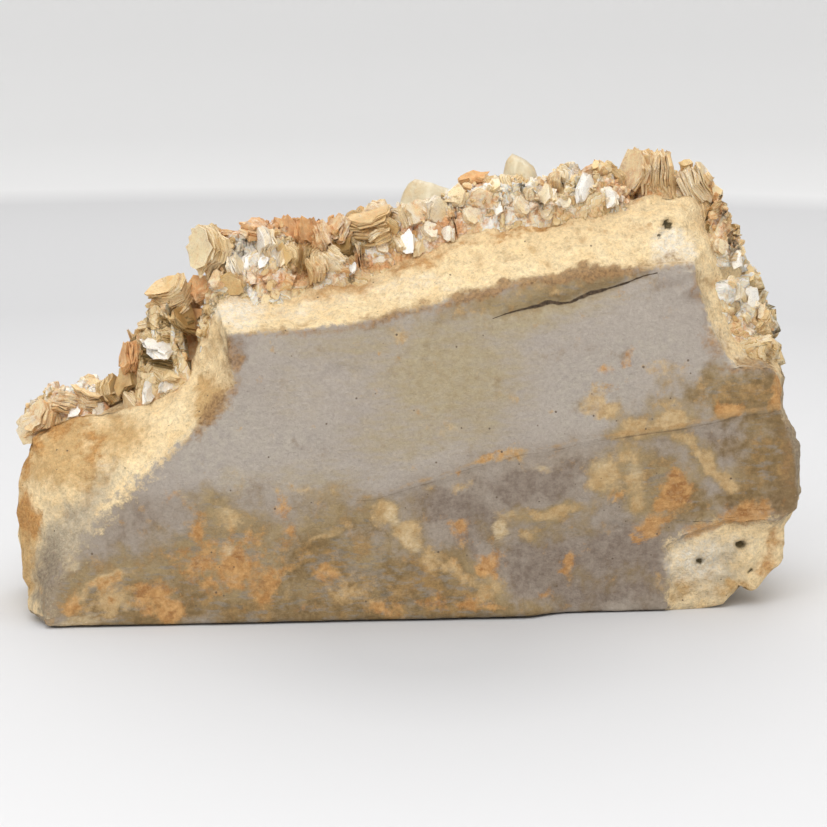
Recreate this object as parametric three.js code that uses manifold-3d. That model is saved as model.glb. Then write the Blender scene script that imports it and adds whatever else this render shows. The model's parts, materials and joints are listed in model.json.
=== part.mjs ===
// An aquamarine specimen: a broken slab of grey wall rock, with muscovite books along its top and
// down its display side, and aquamarine prisms standing among them.
// Millimetres, +Z up. +X runs along the slab, -Y is the bare flat side and +Y the display side.
import * as THREE from "three";
import { mergeVertices } from "three/addons/utils/BufferGeometryUtils.js";
import Module from "manifold-3d";

const wasm = await Module();
wasm.setup();

// ---- Driving dimensions -------------------------------------------------------------------
const LENGTH = 200; // the slab, end to end
const CENTRE = { x: 1.2, y: 45.3 }; // the middle of the base, in the drawing, becomes the origin
const LEAN = 0.09; // the flat face leans back by this share of its height
const GAP = 0.4; // the clearance between pieces that touch
const BED = 2.6; // the thickness of fine mica that the books grow from

// Roughness of the rock: the joint face is nearly flat, the broken faces are lumpy.
const FACE_ROUGH = 0.35;
const BREAK_ROUGH = 1.9;
const LUMP_SIZE = 17;
const PIT_SIZE = 7;

// ---- Numbers that look random, the same on every run ----------------------------------------
function chance(k, salt) {
  const s = Math.sin(k * 127.1 + salt * 311.7) * 43758.5453;
  return s - Math.floor(s);
}

const between = (k, salt, [low, high]) => low + (high - low) * chance(k, salt);
const mix = (a, b, t) => a + (b - a) * t;
const ease = (t) => t * t * (3 - 2 * t);

// Smooth noise from -1 to 1 over a lattice of the given size.
function noise(p, size, salt) {
  const cell = [p.x, p.y, p.z].map((v) => Math.floor(v / size));
  const part = [p.x, p.y, p.z].map((v, i) => ease(v / size - cell[i]));
  const corner = (i, j, k) => chance((cell[0] + i) * 7 + (cell[1] + j) * 157 + (cell[2] + k) * 113, salt);
  const edge = (j, k) => mix(corner(0, j, k), corner(1, j, k), part[0]);
  const side = (k) => mix(edge(0, k), edge(1, k), part[1]);
  return 2 * mix(side(0), side(1), part[2]) - 1;
}

// A value that runs through [at, value] points, straight between them.
function along(points, at) {
  if (at <= points[0][0]) return points[0][1];
  for (let i = 1; i < points.length; i++) {
    const [x0, v0] = points[i - 1];
    const [x1, v1] = points[i];
    if (at <= x1) return mix(v0, v1, (at - x0) / (x1 - x0));
  }
  return points[points.length - 1][1];
}

// ---- Between three.js geometry and solids ---------------------------------------------------
function bare(geometry) {
  const g = geometry.clone();
  g.deleteAttribute("normal");
  g.deleteAttribute("uv");
  return mergeVertices(g, 1e-4);
}

function solid(geometry) {
  const g = bare(geometry);
  return new wasm.Manifold(
    new wasm.Mesh({
      numProp: 3,
      vertProperties: new Float32Array(g.attributes.position.array),
      triVerts: new Uint32Array(g.index.array),
    }),
  );
}

function geometryOf(made) {
  const mesh = made.getMesh();
  const points = new Float32Array(mesh.numVert * 3);
  for (let i = 0; i < mesh.numVert; i++)
    points.set(mesh.vertProperties.subarray(i * mesh.numProp, i * mesh.numProp + 3), i * 3);
  const g = new THREE.BufferGeometry();
  g.setAttribute("position", new THREE.BufferAttribute(points, 3));
  g.setIndex(new THREE.BufferAttribute(mesh.triVerts.slice(), 1));
  return g;
}

// A box from its lowest to its highest corner.
function boxOf(low, high) {
  const size = low.map((v, i) => high[i] - v);
  const box = new THREE.BoxGeometry(...size);
  box.translate(...low.map((v, i) => v + size[i] / 2));
  return solid(box);
}

// ---- The wall rock --------------------------------------------------------------------------
// Stations round the slab, anticlockwise seen from the bare side, a list for each side. Each is
// [x, z] where the flat grey face ends, [x, z, y] on the slab's outline, and how far the break
// drops straight back from the face's edge.
const FOOT = [
  [-91.5, 1.5, -90, 0, 4, 0], [-60, 1.2, -60, 0, 4.5, 0], [-28, 1.2, -28, 0, 5.5, 0],
  [0, 1.2, 0, 0, 6, 0], [25, 1.5, 25, 0, 7, 0], [48, 1.2, 48, 0, 7, 0], [66, 1.2, 66, 0, 7, 0],
];
const RIGHT = [
  [66, 1.2, 66, 0, 7, 0], [65.7, 7, 76, 0, 8, 0.5], [66, 12, 81, 1, 8, 1], [65.5, 17.4, 86, 5.5, 8, 1.5],
  [75, 21.8, 89, 4.5, 9, 2], [85.5, 24.2, 95.5, 11, 10, 2], [94.5, 23, 97, 20, 11, 2],
  [99, 28, 101, 29, 13, 0.5], [98.5, 40, 101, 40, 14, 0.5], [94.3, 52, 98, 51.5, 13, 0.5],
  [92.5, 62.8, 100.5, 59.5, 14, 2], [83, 62.8, 97.5, 67, 22, 4.5], [80, 66, 96, 73, 24, 4.5],
  [76.8, 72.5, 94, 81.5, 26, 4], [74, 82, 90, 89, 27, 3], [72, 89.7, 84, 95.5, 27, 1.5],
];
const TOP = [
  [-45.3, 72.5, -48, 82, 21, 0.5], [-27.4, 73.6, -30, 83, 22, 0.5], [-9, 76, -15, 84.7, 23, 0.5],
  [6, 79.8, 0, 89, 24, 0.5], [18, 82.5, 14.5, 95.5, 24, 0.5], [28, 84.5, 30, 99.5, 24, 0.5],
  [42, 86.5, 48, 102.5, 24, 0.5], [52, 87.4, 61, 104, 24, 0.5], [61, 88, 74, 105, 25, 0.5],
  [72, 89.7, 84, 95.5, 27, 1.5],
];
const LEFT = [
  [-91.5, 1.5, -90, 0, 4, 0], [-90.5, 5, -96, 2.5, 10, 0], [-87.8, 12.3, -98, 12.5, 18, 0],
  [-83, 19.5, -99, 28.3, 24, 0], [-77.6, 27, -96, 43.8, 25, 0.3], [-67, 37, -88, 48.9, 24, 0.5],
  [-56.3, 46.6, -74, 52, 23, 0.6], [-50, 53, -65, 54, 20, 0.6], [-43.7, 60, -55, 59.7, 18, 0.6],
  [-44.5, 66, -50, 70, 19, 0.5], [-45.3, 72.5, -48, 82, 21, 0.5],
];
// The display side, broken along planes through three points each, [x, y, z].
const BACK_BREAKS = [
  [[-60, 51, 84], [60, 45, 102], [0, 76, 25]],
  [[-90, 71, 0], [90, 74, 0], [0, 78.5, 26]],
  [[-99, 46, 30], [-58, 80, 12], [-76, 60, 52]],
  [[101, 48, 40], [66, 80, 12], [82, 46, 92]],
];
const CREASE = [[-9, 30.9], [94.3, 52]]; // [x, z]: below this line the face tilts under
const CREASE_END = [25, 3.7]; // [x, z]: the tilted part's left limit runs from the crease to here
const UNDER = 0.115; // how fast it tilts under, by the height below the crease
const ACROSS = 20; // facets along the slab, and up it
const UPWARD = 15;
const RIM_ROWS = 4;
const CLIFF = 1.2; // the width of the drop behind the face's edge
// The crack along the upper right of the face: [x, z, half its width], and how deep it is.
const CRACK = [
  [20, 75.6, 0.1], [28, 78, 0.3], [36, 79.7, 0.8], [39, 79.3, 0.6], [46, 82, 0.6], [56, 84.8, 0.3],
  [64, 87.3, 0.1],
];
const CRACK_DEPTH = 1.6;
// Pits where a crystal has dropped out: [x, z, radius].
const PITS = [[86, 15.3, 1.7], [75, 11.8, 1.1], [66.5, 97, 1.9]];

// How far back the flat face lies at x, z.
function face(x, z) {
  const crease = along(CREASE, x) + Math.min(x - CREASE[0][0], 0);
  const limit = mix(CREASE[0][0], CREASE_END[0], (CREASE[0][1] - z) / (CREASE[0][1] - CREASE_END[1]));
  const inside = ease(Math.min(Math.max((x - limit) / 12, 0), 1));
  return LEAN * z + UNDER * Math.max(crease - z, 0) * inside;
}

// How far back the display side lies at x, z.
function back(x, z) {
  return Math.min(...BACK_BREAKS.map(([p, q, r]) => {
    const a = new THREE.Vector3(...p);
    const n = new THREE.Vector3(...q).sub(a).cross(new THREE.Vector3(...r).sub(a));
    return a.y - (n.x * (x - a.x) + n.z * (z - a.z)) / n.y;
  }));
}

// A side's stations at `count` equal steps along its list.
function steps(side, count) {
  return Array.from({ length: count + 1 }, (_, i) => {
    const at = (i / count) * (side.length - 1);
    const k = Math.min(Math.floor(at), side.length - 2);
    return side[k].map((v, j) => mix(v, side[k + 1][j], at - k));
  });
}

const faceEdge = ([x, z]) => new THREE.Vector3(x, face(x, z), z);
const outline = ([, , x, z, y]) => new THREE.Vector3(x, y, z);
const backEdge = ([, , x, z]) => new THREE.Vector3(x, back(x, z), z);

// The rows of the break from the face's edge, over its drop, to the outline.
function breakRows(station) {
  const edge = faceEdge(station);
  const rim = outline(station);
  const width = Math.hypot(rim.x - edge.x, rim.z - edge.z);
  const cliff = edge.clone().lerp(rim, Math.min(CLIFF / width, 0.5));
  cliff.y = edge.y + station[5] + 0.15 * (cliff.y - edge.y);
  return [edge, cliff, cliff.clone().lerp(rim, 0.5), rim];
}

function rimRows(station) {
  const a = outline(station);
  const b = backEdge(station);
  return Array.from({ length: RIM_ROWS + 1 }, (_, i) => a.clone().lerp(b, i / RIM_ROWS));
}

// A grid of points between four sides, each a row of points; `depth` gives y inside it.
function patch(foot, right, top, left, depth) {
  return left.map((_, j) =>
    foot.map((_, i) => {
      const u = i / (foot.length - 1);
      const v = j / (left.length - 1);
      const p = foot[i].clone().lerp(top[i], v).add(left[j].clone().lerp(right[j], u));
      const low = foot[0].clone().lerp(foot[foot.length - 1], u);
      const high = top[0].clone().lerp(top[top.length - 1], u);
      p.sub(low.lerp(high, v));
      const onEdge = i === 0 || j === 0 || i === foot.length - 1 || j === left.length - 1;
      return onEdge ? p : p.setY(depth(p.x, p.z));
    }),
  );
}

// Triangles over a grid of points, their outer side where the grid runs anticlockwise.
function skin(grid, out) {
  for (let j = 0; j + 1 < grid.length; j++)
    for (let i = 0; i + 1 < grid[j].length; i++) {
      const [a, b] = [grid[j][i], grid[j][i + 1]];
      const [d, c] = [grid[j + 1][i], grid[j + 1][i + 1]];
      const short = a.distanceToSquared(c) < b.distanceToSquared(d);
      out.push(...(short ? [a, b, c, a, c, d] : [a, b, d, b, c, d]));
    }
}

// The whole slab before it is roughened, as one closed skin.
function slabGeometry() {
  const sides = [steps(FOOT, ACROSS), steps(RIGHT, UPWARD), steps(TOP, ACROSS), steps(LEFT, UPWARD)];
  const [foot, right, top, left] = sides;
  const out = [];
  skin(patch(...sides.map((side) => side.map(faceEdge)), face), out);
  const around = [...foot, ...right.slice(1), ...top.slice(0, -1).reverse(), ...left.slice(0, -1).reverse()];
  const turned = (rows) => rows[0].map((_, j) => rows.map((row) => row[j])).reverse();
  skin(turned(around.map(breakRows)), out);
  skin(turned(around.map(rimRows)), out);
  skin(patch(...sides.map((side) => side.map(backEdge)), back).map((row) => row.reverse()), out);
  return mergeVertices(new THREE.BufferGeometry().setFromPoints(out), 1e-4);
}

// The broken rock is the slab with its space warped by smooth noise: little near the flat face,
// more away from it, and never up or down at the foot, so that it stands flat.
function warp(p) {
  const broken = ease(Math.min(Math.max((p.y - face(p.x, p.z) - 1) / 6, 0), 1));
  const most = mix(FACE_ROUGH, BREAK_ROUGH, broken);
  const way = [1, 3, 5].map((salt) => noise(p, LUMP_SIZE, salt) + 0.5 * noise(p, PIT_SIZE, salt + 1));
  const free = Math.min(Math.max(p.z / 8, 0), 1);
  return new THREE.Vector3(0.5 * most * way[0], most * way[1], 0.5 * most * way[2] * free);
}

// The rock's surface, moved out by what `swell` gives at each point.
function rockGeometry(slab, swell) {
  const g = slab.clone();
  const { position } = g.attributes;
  const p = new THREE.Vector3();
  for (let i = 0; i < position.count; i++) {
    p.fromBufferAttribute(position, i);
    p.add(warp(p));
    position.setXYZ(i, p.x, p.y, p.z);
  }
  g.computeVertexNormals();
  const n = new THREE.Vector3();
  for (let i = 0; i < position.count; i++) {
    p.fromBufferAttribute(position, i);
    p.addScaledVector(n.fromBufferAttribute(g.attributes.normal, i), swell(p));
    position.setXYZ(i, p.x, p.y, p.z);
  }
  return g;
}

function crackTool() {
  const shape = new THREE.Shape(CRACK.map(([x, z, half]) => new THREE.Vector2(x, z + half)));
  for (const [x, z, half] of CRACK.toReversed()) shape.lineTo(x, z - half);
  const [x, z] = CRACK[Math.floor(CRACK.length / 2)];
  const groove = new THREE.ExtrudeGeometry(shape, { depth: face(x, z) + CRACK_DEPTH, bevelEnabled: false });
  groove.rotateX(Math.PI / 2);
  groove.translate(0, face(x, z) + CRACK_DEPTH, 0);
  return solid(groove);
}

function pitTool(rock, [x, z, radius]) {
  const pit = new THREE.IcosahedronGeometry(radius, 0);
  const at = landing(rock, new THREE.Vector3(x, -100, z), new THREE.Vector3(0, 1, 0));
  pit.translate(at.x, at.y + 0.2 * radius, at.z);
  return solid(pit);
}

// ---- Where things stand on the rock ---------------------------------------------------------
const BROW = [[-48, 17], [70, 27]]; // [x, y]: where the cream bevel ends and the mica begins
const SKYLINE = [
  [-56, 91], [-53, 97], [-48, 101], [-34, 101.3], [-18, 100], [-14, 102.4], [-6, 105.8], [1, 106],
  [13, 109], [22, 111], [30, 113], [38, 110], [47, 112.5], [52, 114], [58, 115], [62, 113],
]; // [x, z]: how high the ridge of books reaches
const SLOPE_OUT = new THREE.Vector3(0, 0.91, 0.41).normalize(); // out of the display slope
const UP = new THREE.Vector3(0, 0, 1);

// The first point of the surface that a straight line meets, from outside.
function landing(rock, from, way) {
  const ray = new THREE.Raycaster(from, way);
  const hit = ray.intersectObject(rock)[0];
  return hit ? hit.point : null;
}

const onTop = (rock, x, y) => landing(rock, new THREE.Vector3(x, y, 200), new THREE.Vector3(0, 0, -1));
const onSlope = (rock, x, z) => landing(rock, new THREE.Vector3(x, 200, z), new THREE.Vector3(0, -1, 0));

// ---- Aquamarine -----------------------------------------------------------------------------
// Six-sided prisms with flat ends and a narrow bevel: foot on the rock, heading [x, y, z], sizes.
const AQUAMARINES = [
  { name: "ridge_stout", x: 8, y: 40, heading: [0.12, 0.3, 1], radius: 9.6, reach: 20, turn: 0.3 },
  { name: "ridge_small", x: 31, y: 40, heading: [0.1, 0.1, 1], radius: 5.4, reach: 18.5, turn: 0.1 },
  { name: "display_main", x: -16, z: 68, heading: [-0.22, 1, 0.5], radius: 8.6, reach: 33, turn: 0.2 },
  { name: "display_leaning", x: 3, z: 60, heading: [0.5, 1, 0.25], radius: 5.6, reach: 25, turn: 0.5 },
  { name: "display_upper", x: 42, z: 80, heading: [0.3, 0.8, 0.8], radius: 6.6, reach: 24, turn: 0.8 },
  { name: "display_twin", x: 54, z: 68, heading: [0.45, 1, 0.35], radius: 4.4, reach: 19, turn: 0.4 },
  { name: "display_low", x: -38, z: 47, heading: [-0.35, 1, 0.1], radius: 5.2, reach: 21, turn: 0.6 },
  { name: "shelf_small", x: -72, z: 42, heading: [-0.4, 1, 0.5], radius: 4.2, reach: 17, turn: 0.9 },
];
const SUNK = 3; // how deep a prism's foot sits in the rock

function prismGeometry({ foot, way, radius, reach, turn }, clear) {
  const r = radius + clear;
  const bevel = 0.16 * radius;
  const low = -SUNK - clear;
  const top = reach + clear;
  const profile = [[0, low], [r, low], [r, top - bevel], [r - bevel, top], [0, top]];
  const prism = new THREE.LatheGeometry(profile.map(([x, y]) => new THREE.Vector2(x, y)), 6);
  prism.scale(1, 1, 0.9);
  prism.rotateY(turn);
  prism.applyQuaternion(new THREE.Quaternion().setFromUnitVectors(new THREE.Vector3(0, 1, 0), way));
  prism.translate(foot.x, foot.y, foot.z);
  return prism;
}

function standPrisms(rock) {
  return AQUAMARINES.map((prism) => ({
    ...prism,
    foot: prism.y === undefined ? onSlope(rock, prism.x, prism.z) : onTop(rock, prism.x, prism.y),
    way: new THREE.Vector3(...prism.heading).normalize(),
  }));
}

// ---- Muscovite ------------------------------------------------------------------------------
// A patch is the ground that one cluster covers: its bed lies between low and high, [x, y, z], and
// the cluster keeps to its own side of its neighbours, over x and, at the right end, z.
const FAR = 300;
const PATCHES = {
  muscovite_shelf: { low: [-103, 26, 38], high: [-72, 64, 90], x: [-FAR, -74], z: [0, FAR] },
  muscovite_step: { low: [-74, 17, 46], high: [-52, 64, 96], x: [-73.3, -53.6], z: [0, FAR] },
  muscovite_bank: { low: [-55, 18, 26], high: [62, 110, 140], x: [-53, 60.6], z: [0, FAR] },
  muscovite_peak: { low: [60, 24, 84], high: [90, 60, 140], x: [61.3, FAR], z: [84, FAR] },
  muscovite_shoulder: { low: [70, 20, 52], high: [110, 70, 84], x: [61.3, FAR], z: [0, 83.4] },
};

// A row of books runs along X, on the top at a depth behind the brow, or on the slope at a height.
// radius and thick are ranges; stand is how much of a book's radius its middle stands proud.
const ROWS = [
  { patch: "muscovite_bank", from: -52, to: 60, behind: 3.5, pitch: 9.3, radius: [5, 6.8], stand: 0.5 },
  { patch: "muscovite_bank", from: -51, to: 59, behind: 11.5, pitch: 12, radius: [6.5, 9], ridge: true },
  { patch: "muscovite_bank", from: -49, to: 58, behind: 21, pitch: 17, radius: [8, 11], ridge: true },
  { patch: "muscovite_bank", from: -48, to: 59, height: 86, pitch: 20, radius: [9, 12], stand: 0.42 },
  { patch: "muscovite_bank", from: -50, to: 59, height: 70, pitch: 20, radius: [9, 12.5], stand: 0.38 },
  { patch: "muscovite_bank", from: -48, to: 58, height: 55, pitch: 20, radius: [9, 12.5], stand: 0.36 },
  { patch: "muscovite_bank", from: -46, to: 52, height: 41, pitch: 19, radius: [7, 10], stand: 0.35 },
  { patch: "muscovite_shelf", from: -98, to: -76, depth: 32, pitch: 7.5, radius: [5, 6.5], stand: 0.45 },
  { patch: "muscovite_shelf", from: -95, to: -76, depth: 43, pitch: 9.5, radius: [6.5, 8], stand: 0.6 },
  { patch: "muscovite_shelf", from: -90, to: -76, depth: 54, pitch: 9, radius: [6, 8], stand: 0.45 },
  { patch: "muscovite_step", from: -72, to: -55, depth: 25, pitch: 7, radius: [4.5, 6], stand: 0.5 },
  { patch: "muscovite_step", from: -71, to: -55, depth: 35, pitch: 8, radius: [7, 8.5], stand: 1.0 },
  { patch: "muscovite_step", from: -70, to: -55, depth: 47, pitch: 9, radius: [7, 9], stand: 0.8 },
  { patch: "muscovite_peak", from: 63, to: 83, depth: 31, pitch: 8, radius: [5.5, 7], stand: 0.7 },
  { patch: "muscovite_peak", from: 63, to: 82, depth: 40, pitch: 10, radius: [7.5, 9], stand: 0.9 },
  { patch: "muscovite_shoulder", from: 84, to: 96, height: 76, pitch: 10, radius: [7, 9], stand: 0.4 },
  { patch: "muscovite_shoulder", from: 80, to: 96, height: 64, pitch: 10, radius: [6, 8], stand: 0.4 },
];
// Books that stand out, each placed by itself: middle, way that its flat side faces, size.
const SINGLES = [
  { patch: "muscovite_bank", at: [-48.5, 24, 93], faces: [-0.75, -0.65, 0.1], radius: 7.2, thick: 4.4 },
  { patch: "muscovite_bank", at: [-43, 21, 88], faces: [0.85, -0.35, 0.4], radius: 4.6, thick: 2.4 },
  { patch: "muscovite_bank", at: [-8, 25, 98], faces: [-0.3, -0.35, 0.9], radius: 9, thick: 5.5 },
  { patch: "muscovite_bank", at: [-16, 26, 96.5], faces: [-0.9, -0.3, 0.4], radius: 6, thick: 3.2 },
  { patch: "muscovite_bank", at: [19.5, 33, 108.5], faces: [-0.15, -0.3, 1], radius: 6.2, thick: 1.8 },
  { patch: "muscovite_bank", at: [45, 33, 107], faces: [0.8, -0.5, 0.2], radius: 6.4, thick: 3 },
  { patch: "muscovite_bank", at: [51, 35, 109], faces: [-0.9, 0.1, 0.1], radius: 6.6, thick: 1.6 },
  { patch: "muscovite_step", at: [-61.5, 25, 66], faces: [-0.15, -0.35, 0.92], radius: 8.6, thick: 7.5 },
  { patch: "muscovite_step", at: [-59.5, 28, 76], faces: [-0.5, -0.3, 0.8], radius: 8, thick: 7 },
  { patch: "muscovite_step", at: [-67, 27, 62], faces: [-0.8, -0.55, 0.3], radius: 7, thick: 4.4 },
  { patch: "muscovite_shelf", at: [-92, 31, 49.5], faces: [-0.7, -0.6, 0.4], radius: 7, thick: 4.5 },
  { patch: "muscovite_shelf", at: [-80.5, 31, 55], faces: [-0.2, -0.6, 0.8], radius: 7, thick: 5 },
  { patch: "muscovite_peak", at: [65.5, 31, 108.5], faces: [0.75, -0.6, 0.15], radius: 9.4, thick: 5.6 },
  { patch: "muscovite_peak", at: [63.8, 33, 111], faces: [-0.8, -0.55, 0.1], radius: 7.4, thick: 3.4 },
  { patch: "muscovite_peak", at: [77.5, 29, 105.5], faces: [0.65, -0.65, 0.4], radius: 8.4, thick: 5.4 },
  { patch: "muscovite_peak", at: [81, 31, 98], faces: [0.9, -0.35, 0.1], radius: 7.6, thick: 4.4 },
];

// Every book as { patch, middle, faces, radius, thick, spin }.
function books(rock, prisms) {
  const found = [];
  ROWS.forEach((row, r) => {
    const count = Math.round((row.to - row.from) / row.pitch);
    for (let i = 0; i < count; i++) {
      const k = r * 50 + i;
      const x = row.from + (i + between(k, 1, [0.25, 0.75])) * row.pitch;
      const radius = between(k, 2, row.radius);
      const onTheSlope = row.height !== undefined;
      const drift = between(k, 3, [-1.6, 1.6]);
      const y = row.depth === undefined ? along(BROW, x) + row.behind + drift : row.depth + drift;
      const ground = onTheSlope ? onSlope(rock, x, row.height + 2 * drift) : onTop(rock, x, y);
      if (!ground) continue;
      const out = onTheSlope ? SLOPE_OUT : UP;
      const middle = ground.clone().addScaledVector(out, radius * (row.stand ?? 0.5));
      if (row.ridge) middle.z = Math.max(middle.z, along(SKYLINE, x) - radius * between(k, 4, [1, 1.3]));
      const turn = 2 * Math.PI * chance(k, 5);
      const tip = between(k, 6, [-0.45, 0.75]);
      const across = new THREE.Vector3(Math.cos(turn), Math.sin(turn), 0);
      if (onTheSlope) across.set(Math.cos(turn), -0.41 * Math.sin(turn), 0.91 * Math.sin(turn));
      const faces = across.addScaledVector(out, tip).normalize();
      found.push({
        patch: row.patch,
        middle,
        faces,
        radius,
        thick: radius * between(k, 7, [0.34, 0.75]),
        spin: Math.PI * chance(k, 8),
      });
    }
  });
  SINGLES.forEach((single, i) =>
    found.push({
      ...single,
      middle: new THREE.Vector3(...single.at),
      faces: new THREE.Vector3(...single.faces).normalize(),
      spin: Math.PI * chance(i, 9),
    }),
  );
  return found.filter((book) => !prisms.some((prism) => crowds(book, prism)));
}

// True where a book's middle would lie inside a prism or hide it.
function crowds(book, { foot, way, radius, reach }) {
  const off = book.middle.clone().sub(foot);
  const height = off.dot(way);
  if (height < -2 * SUNK || height > reach) return false;
  return off.addScaledVector(way, -height).length() < radius + 0.45 * book.radius;
}

// A book is a stack of sheets with six uneven sides.
function bookGeometry({ middle, faces, radius, thick, spin }) {
  const sheet = new THREE.Shape();
  for (let i = 0; i < 6; i++) {
    const angle = spin + (i + between(spin * 90 + i, 10, [-0.2, 0.2])) * (Math.PI / 3);
    const r = radius * between(spin * 90 + i, 11, [0.88, 1.1]);
    if (i === 0) sheet.moveTo(r * Math.cos(angle), r * Math.sin(angle));
    else sheet.lineTo(r * Math.cos(angle), r * Math.sin(angle));
  }
  const stack = new THREE.ExtrudeGeometry(sheet, { depth: thick, bevelEnabled: false });
  stack.translate(0, 0, -thick / 2);
  stack.applyQuaternion(new THREE.Quaternion().setFromUnitVectors(UP, faces));
  stack.translate(middle.x, middle.y, middle.z);
  return stack;
}

// The fine mica that the books of a patch grow from lies over the patch, thick and thin by turns.
function bedOver({ low, high }) {
  return (p) => {
    const depth = Math.min(...["x", "y", "z"].flatMap((axis, i) => [p[axis] - low[i], high[i] - p[axis]]));
    return depth + 3 * noise(p, 16, 21) > 4 ? BED * (1 + 0.35 * noise(p, 11, 22)) : -BED;
  };
}

// The largest of the bodies that a solid is made of.
function largest(made) {
  return made.decompose().reduce((a, b) => (a.volume() > b.volume() ? a : b));
}

// ---- Materials and the specimen -------------------------------------------------------------
const wallRock = new THREE.MeshStandardMaterial({ color: 0xa8998a, roughness: 0.9, metalness: 0 });
const muscovite = new THREE.MeshStandardMaterial({ color: 0xcdb88c, roughness: 0.4, metalness: 0.2 });
const aquamarine = new THREE.MeshStandardMaterial({ color: 0xbfe0dc, roughness: 0.08, metalness: 0 });

const specimen = new THREE.Group();

function addPiece(name, geometry, material) {
  const mesh = new THREE.Mesh(geometry, material);
  mesh.name = name;
  mesh.position.set(-CENTRE.x, -CENTRE.y, 0);
  specimen.add(mesh);
}

function buildSpecimen() {
  const slab = slabGeometry();
  const surface = rockGeometry(slab, () => 0);
  const probe = new THREE.Mesh(surface);
  const prisms = standPrisms(probe);
  const pockets = prisms.map((prism) => solid(prismGeometry(prism, GAP)));
  let rock = solid(surface);
  const hollows = [crackTool(), ...PITS.map((pit) => pitTool(probe, pit)), ...pockets];
  for (const hollow of hollows) rock = rock.subtract(hollow);
  addPiece("wall_rock", geometryOf(rock), wallRock);

  const ground = solid(rockGeometry(slab, () => GAP));
  const all = books(probe, prisms);
  for (const [name, patch] of Object.entries(PATCHES)) {
    let cluster = solid(rockGeometry(slab, bedOver(patch)));
    for (const book of all.filter((b) => b.patch === name)) cluster = cluster.add(solid(bookGeometry(book)));
    const { x, z } = patch;
    cluster = cluster.intersect(boxOf([x[0], -FAR, z[0]], [x[1], FAR, z[1]])).subtract(ground);
    for (const pocket of pockets) cluster = cluster.subtract(pocket);
    addPiece(name, geometryOf(largest(cluster)), muscovite);
  }
  for (const prism of prisms) addPiece("aquamarine_" + prism.name, prismGeometry(prism, 0), aquamarine);
}

buildSpecimen();
export default specimen;
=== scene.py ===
"""The looks of an aquamarine specimen: a broken slab of iron-stained wall rock, crusted with
muscovite books, with clear aquamarine prisms among them. Blender 4.5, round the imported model.

Shapes are drawn in millimetres, in the drawing's own frame: +X runs along the slab, -Y is the bare
flat side, +Y the display side and +Z is up. place() puts them in the model's frame, in metres."""
import json
import math

import bmesh
import bpy
import numpy as np
from mathutils import Euler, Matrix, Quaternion, Vector
from mathutils.bvhtree import BVHTree

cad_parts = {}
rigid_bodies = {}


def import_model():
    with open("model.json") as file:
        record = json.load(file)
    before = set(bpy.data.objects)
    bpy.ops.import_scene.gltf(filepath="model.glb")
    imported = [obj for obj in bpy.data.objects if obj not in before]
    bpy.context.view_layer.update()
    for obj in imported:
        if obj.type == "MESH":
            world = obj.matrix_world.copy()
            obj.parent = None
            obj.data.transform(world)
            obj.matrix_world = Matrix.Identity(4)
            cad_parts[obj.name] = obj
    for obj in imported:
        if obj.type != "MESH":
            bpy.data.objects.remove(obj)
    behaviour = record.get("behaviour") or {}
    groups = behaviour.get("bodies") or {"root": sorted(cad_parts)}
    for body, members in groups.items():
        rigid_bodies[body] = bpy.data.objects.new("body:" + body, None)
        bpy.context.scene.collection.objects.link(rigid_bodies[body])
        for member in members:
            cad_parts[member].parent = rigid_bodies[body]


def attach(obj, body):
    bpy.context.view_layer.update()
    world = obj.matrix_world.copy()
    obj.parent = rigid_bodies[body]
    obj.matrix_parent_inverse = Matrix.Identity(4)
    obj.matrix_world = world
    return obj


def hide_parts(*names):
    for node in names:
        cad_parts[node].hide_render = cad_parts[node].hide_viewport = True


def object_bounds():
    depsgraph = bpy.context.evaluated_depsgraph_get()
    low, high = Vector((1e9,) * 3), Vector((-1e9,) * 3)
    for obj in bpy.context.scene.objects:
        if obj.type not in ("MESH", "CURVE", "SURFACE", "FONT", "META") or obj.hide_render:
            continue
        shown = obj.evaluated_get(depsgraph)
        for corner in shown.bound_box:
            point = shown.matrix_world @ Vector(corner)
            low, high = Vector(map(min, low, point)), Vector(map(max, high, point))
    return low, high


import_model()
CAD_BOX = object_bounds()

DRAWN_LENGTH = 203.87  # the model's whole length in the drawing, so that one drawn mm is MM metres
CENTRE = np.array([1.2, 45.3, 0.0])  # the drawing's point that stands at the model's origin
MM = (CAD_BOX[1].x - CAD_BOX[0].x) / DRAWN_LENGTH
LEAN = 0.09  # the flat face leans back by this share of its height


# ---- Numbers that look random, the same on every run -------------------------------------------
def chance(k, salt):
    s = np.sin(k * 127.1 + salt * 311.7) * 43758.5453
    return s - np.floor(s)


def between(k, salt, span):
    return span[0] + (span[1] - span[0]) * float(chance(k, salt))


def ease(t):
    t = np.clip(t, 0, 1)
    return t * t * (3 - 2 * t)


def lattice(p, size, salt):
    """Smooth noise from -1 to 1 over a lattice of the given size in mm."""
    cell = np.floor(p / size)
    part = ease(p / size - cell)

    def corner(i, j, k):
        return chance((cell[:, 0] + i) * 7 + (cell[:, 1] + j) * 157 + (cell[:, 2] + k) * 113, salt)

    def blend(a, b, t):
        return a + (b - a) * t

    def side(k):
        low = blend(corner(0, 0, k), corner(1, 0, k), part[:, 0])
        high = blend(corner(0, 1, k), corner(1, 1, k), part[:, 0])
        return blend(low, high, part[:, 1])

    return 2 * blend(side(0), side(1), part[:, 2]) - 1


OCTAVE_TURN = np.array(Euler((0.7, 1.1, 0.4)).to_matrix())


def rough(p, size, octaves, salt, fade=0.5):
    """Noise of several sizes, each half of the last, about -1 to 1."""
    total, weight, share = 0, 1.0, 0.0
    for octave in range(octaves):
        total = total + weight * lattice(p, size, salt + 0.37 * octave)
        share += weight
        p = p @ OCTAVE_TURN
        size, weight = size * 0.5, weight * fade
    return total / share


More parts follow.
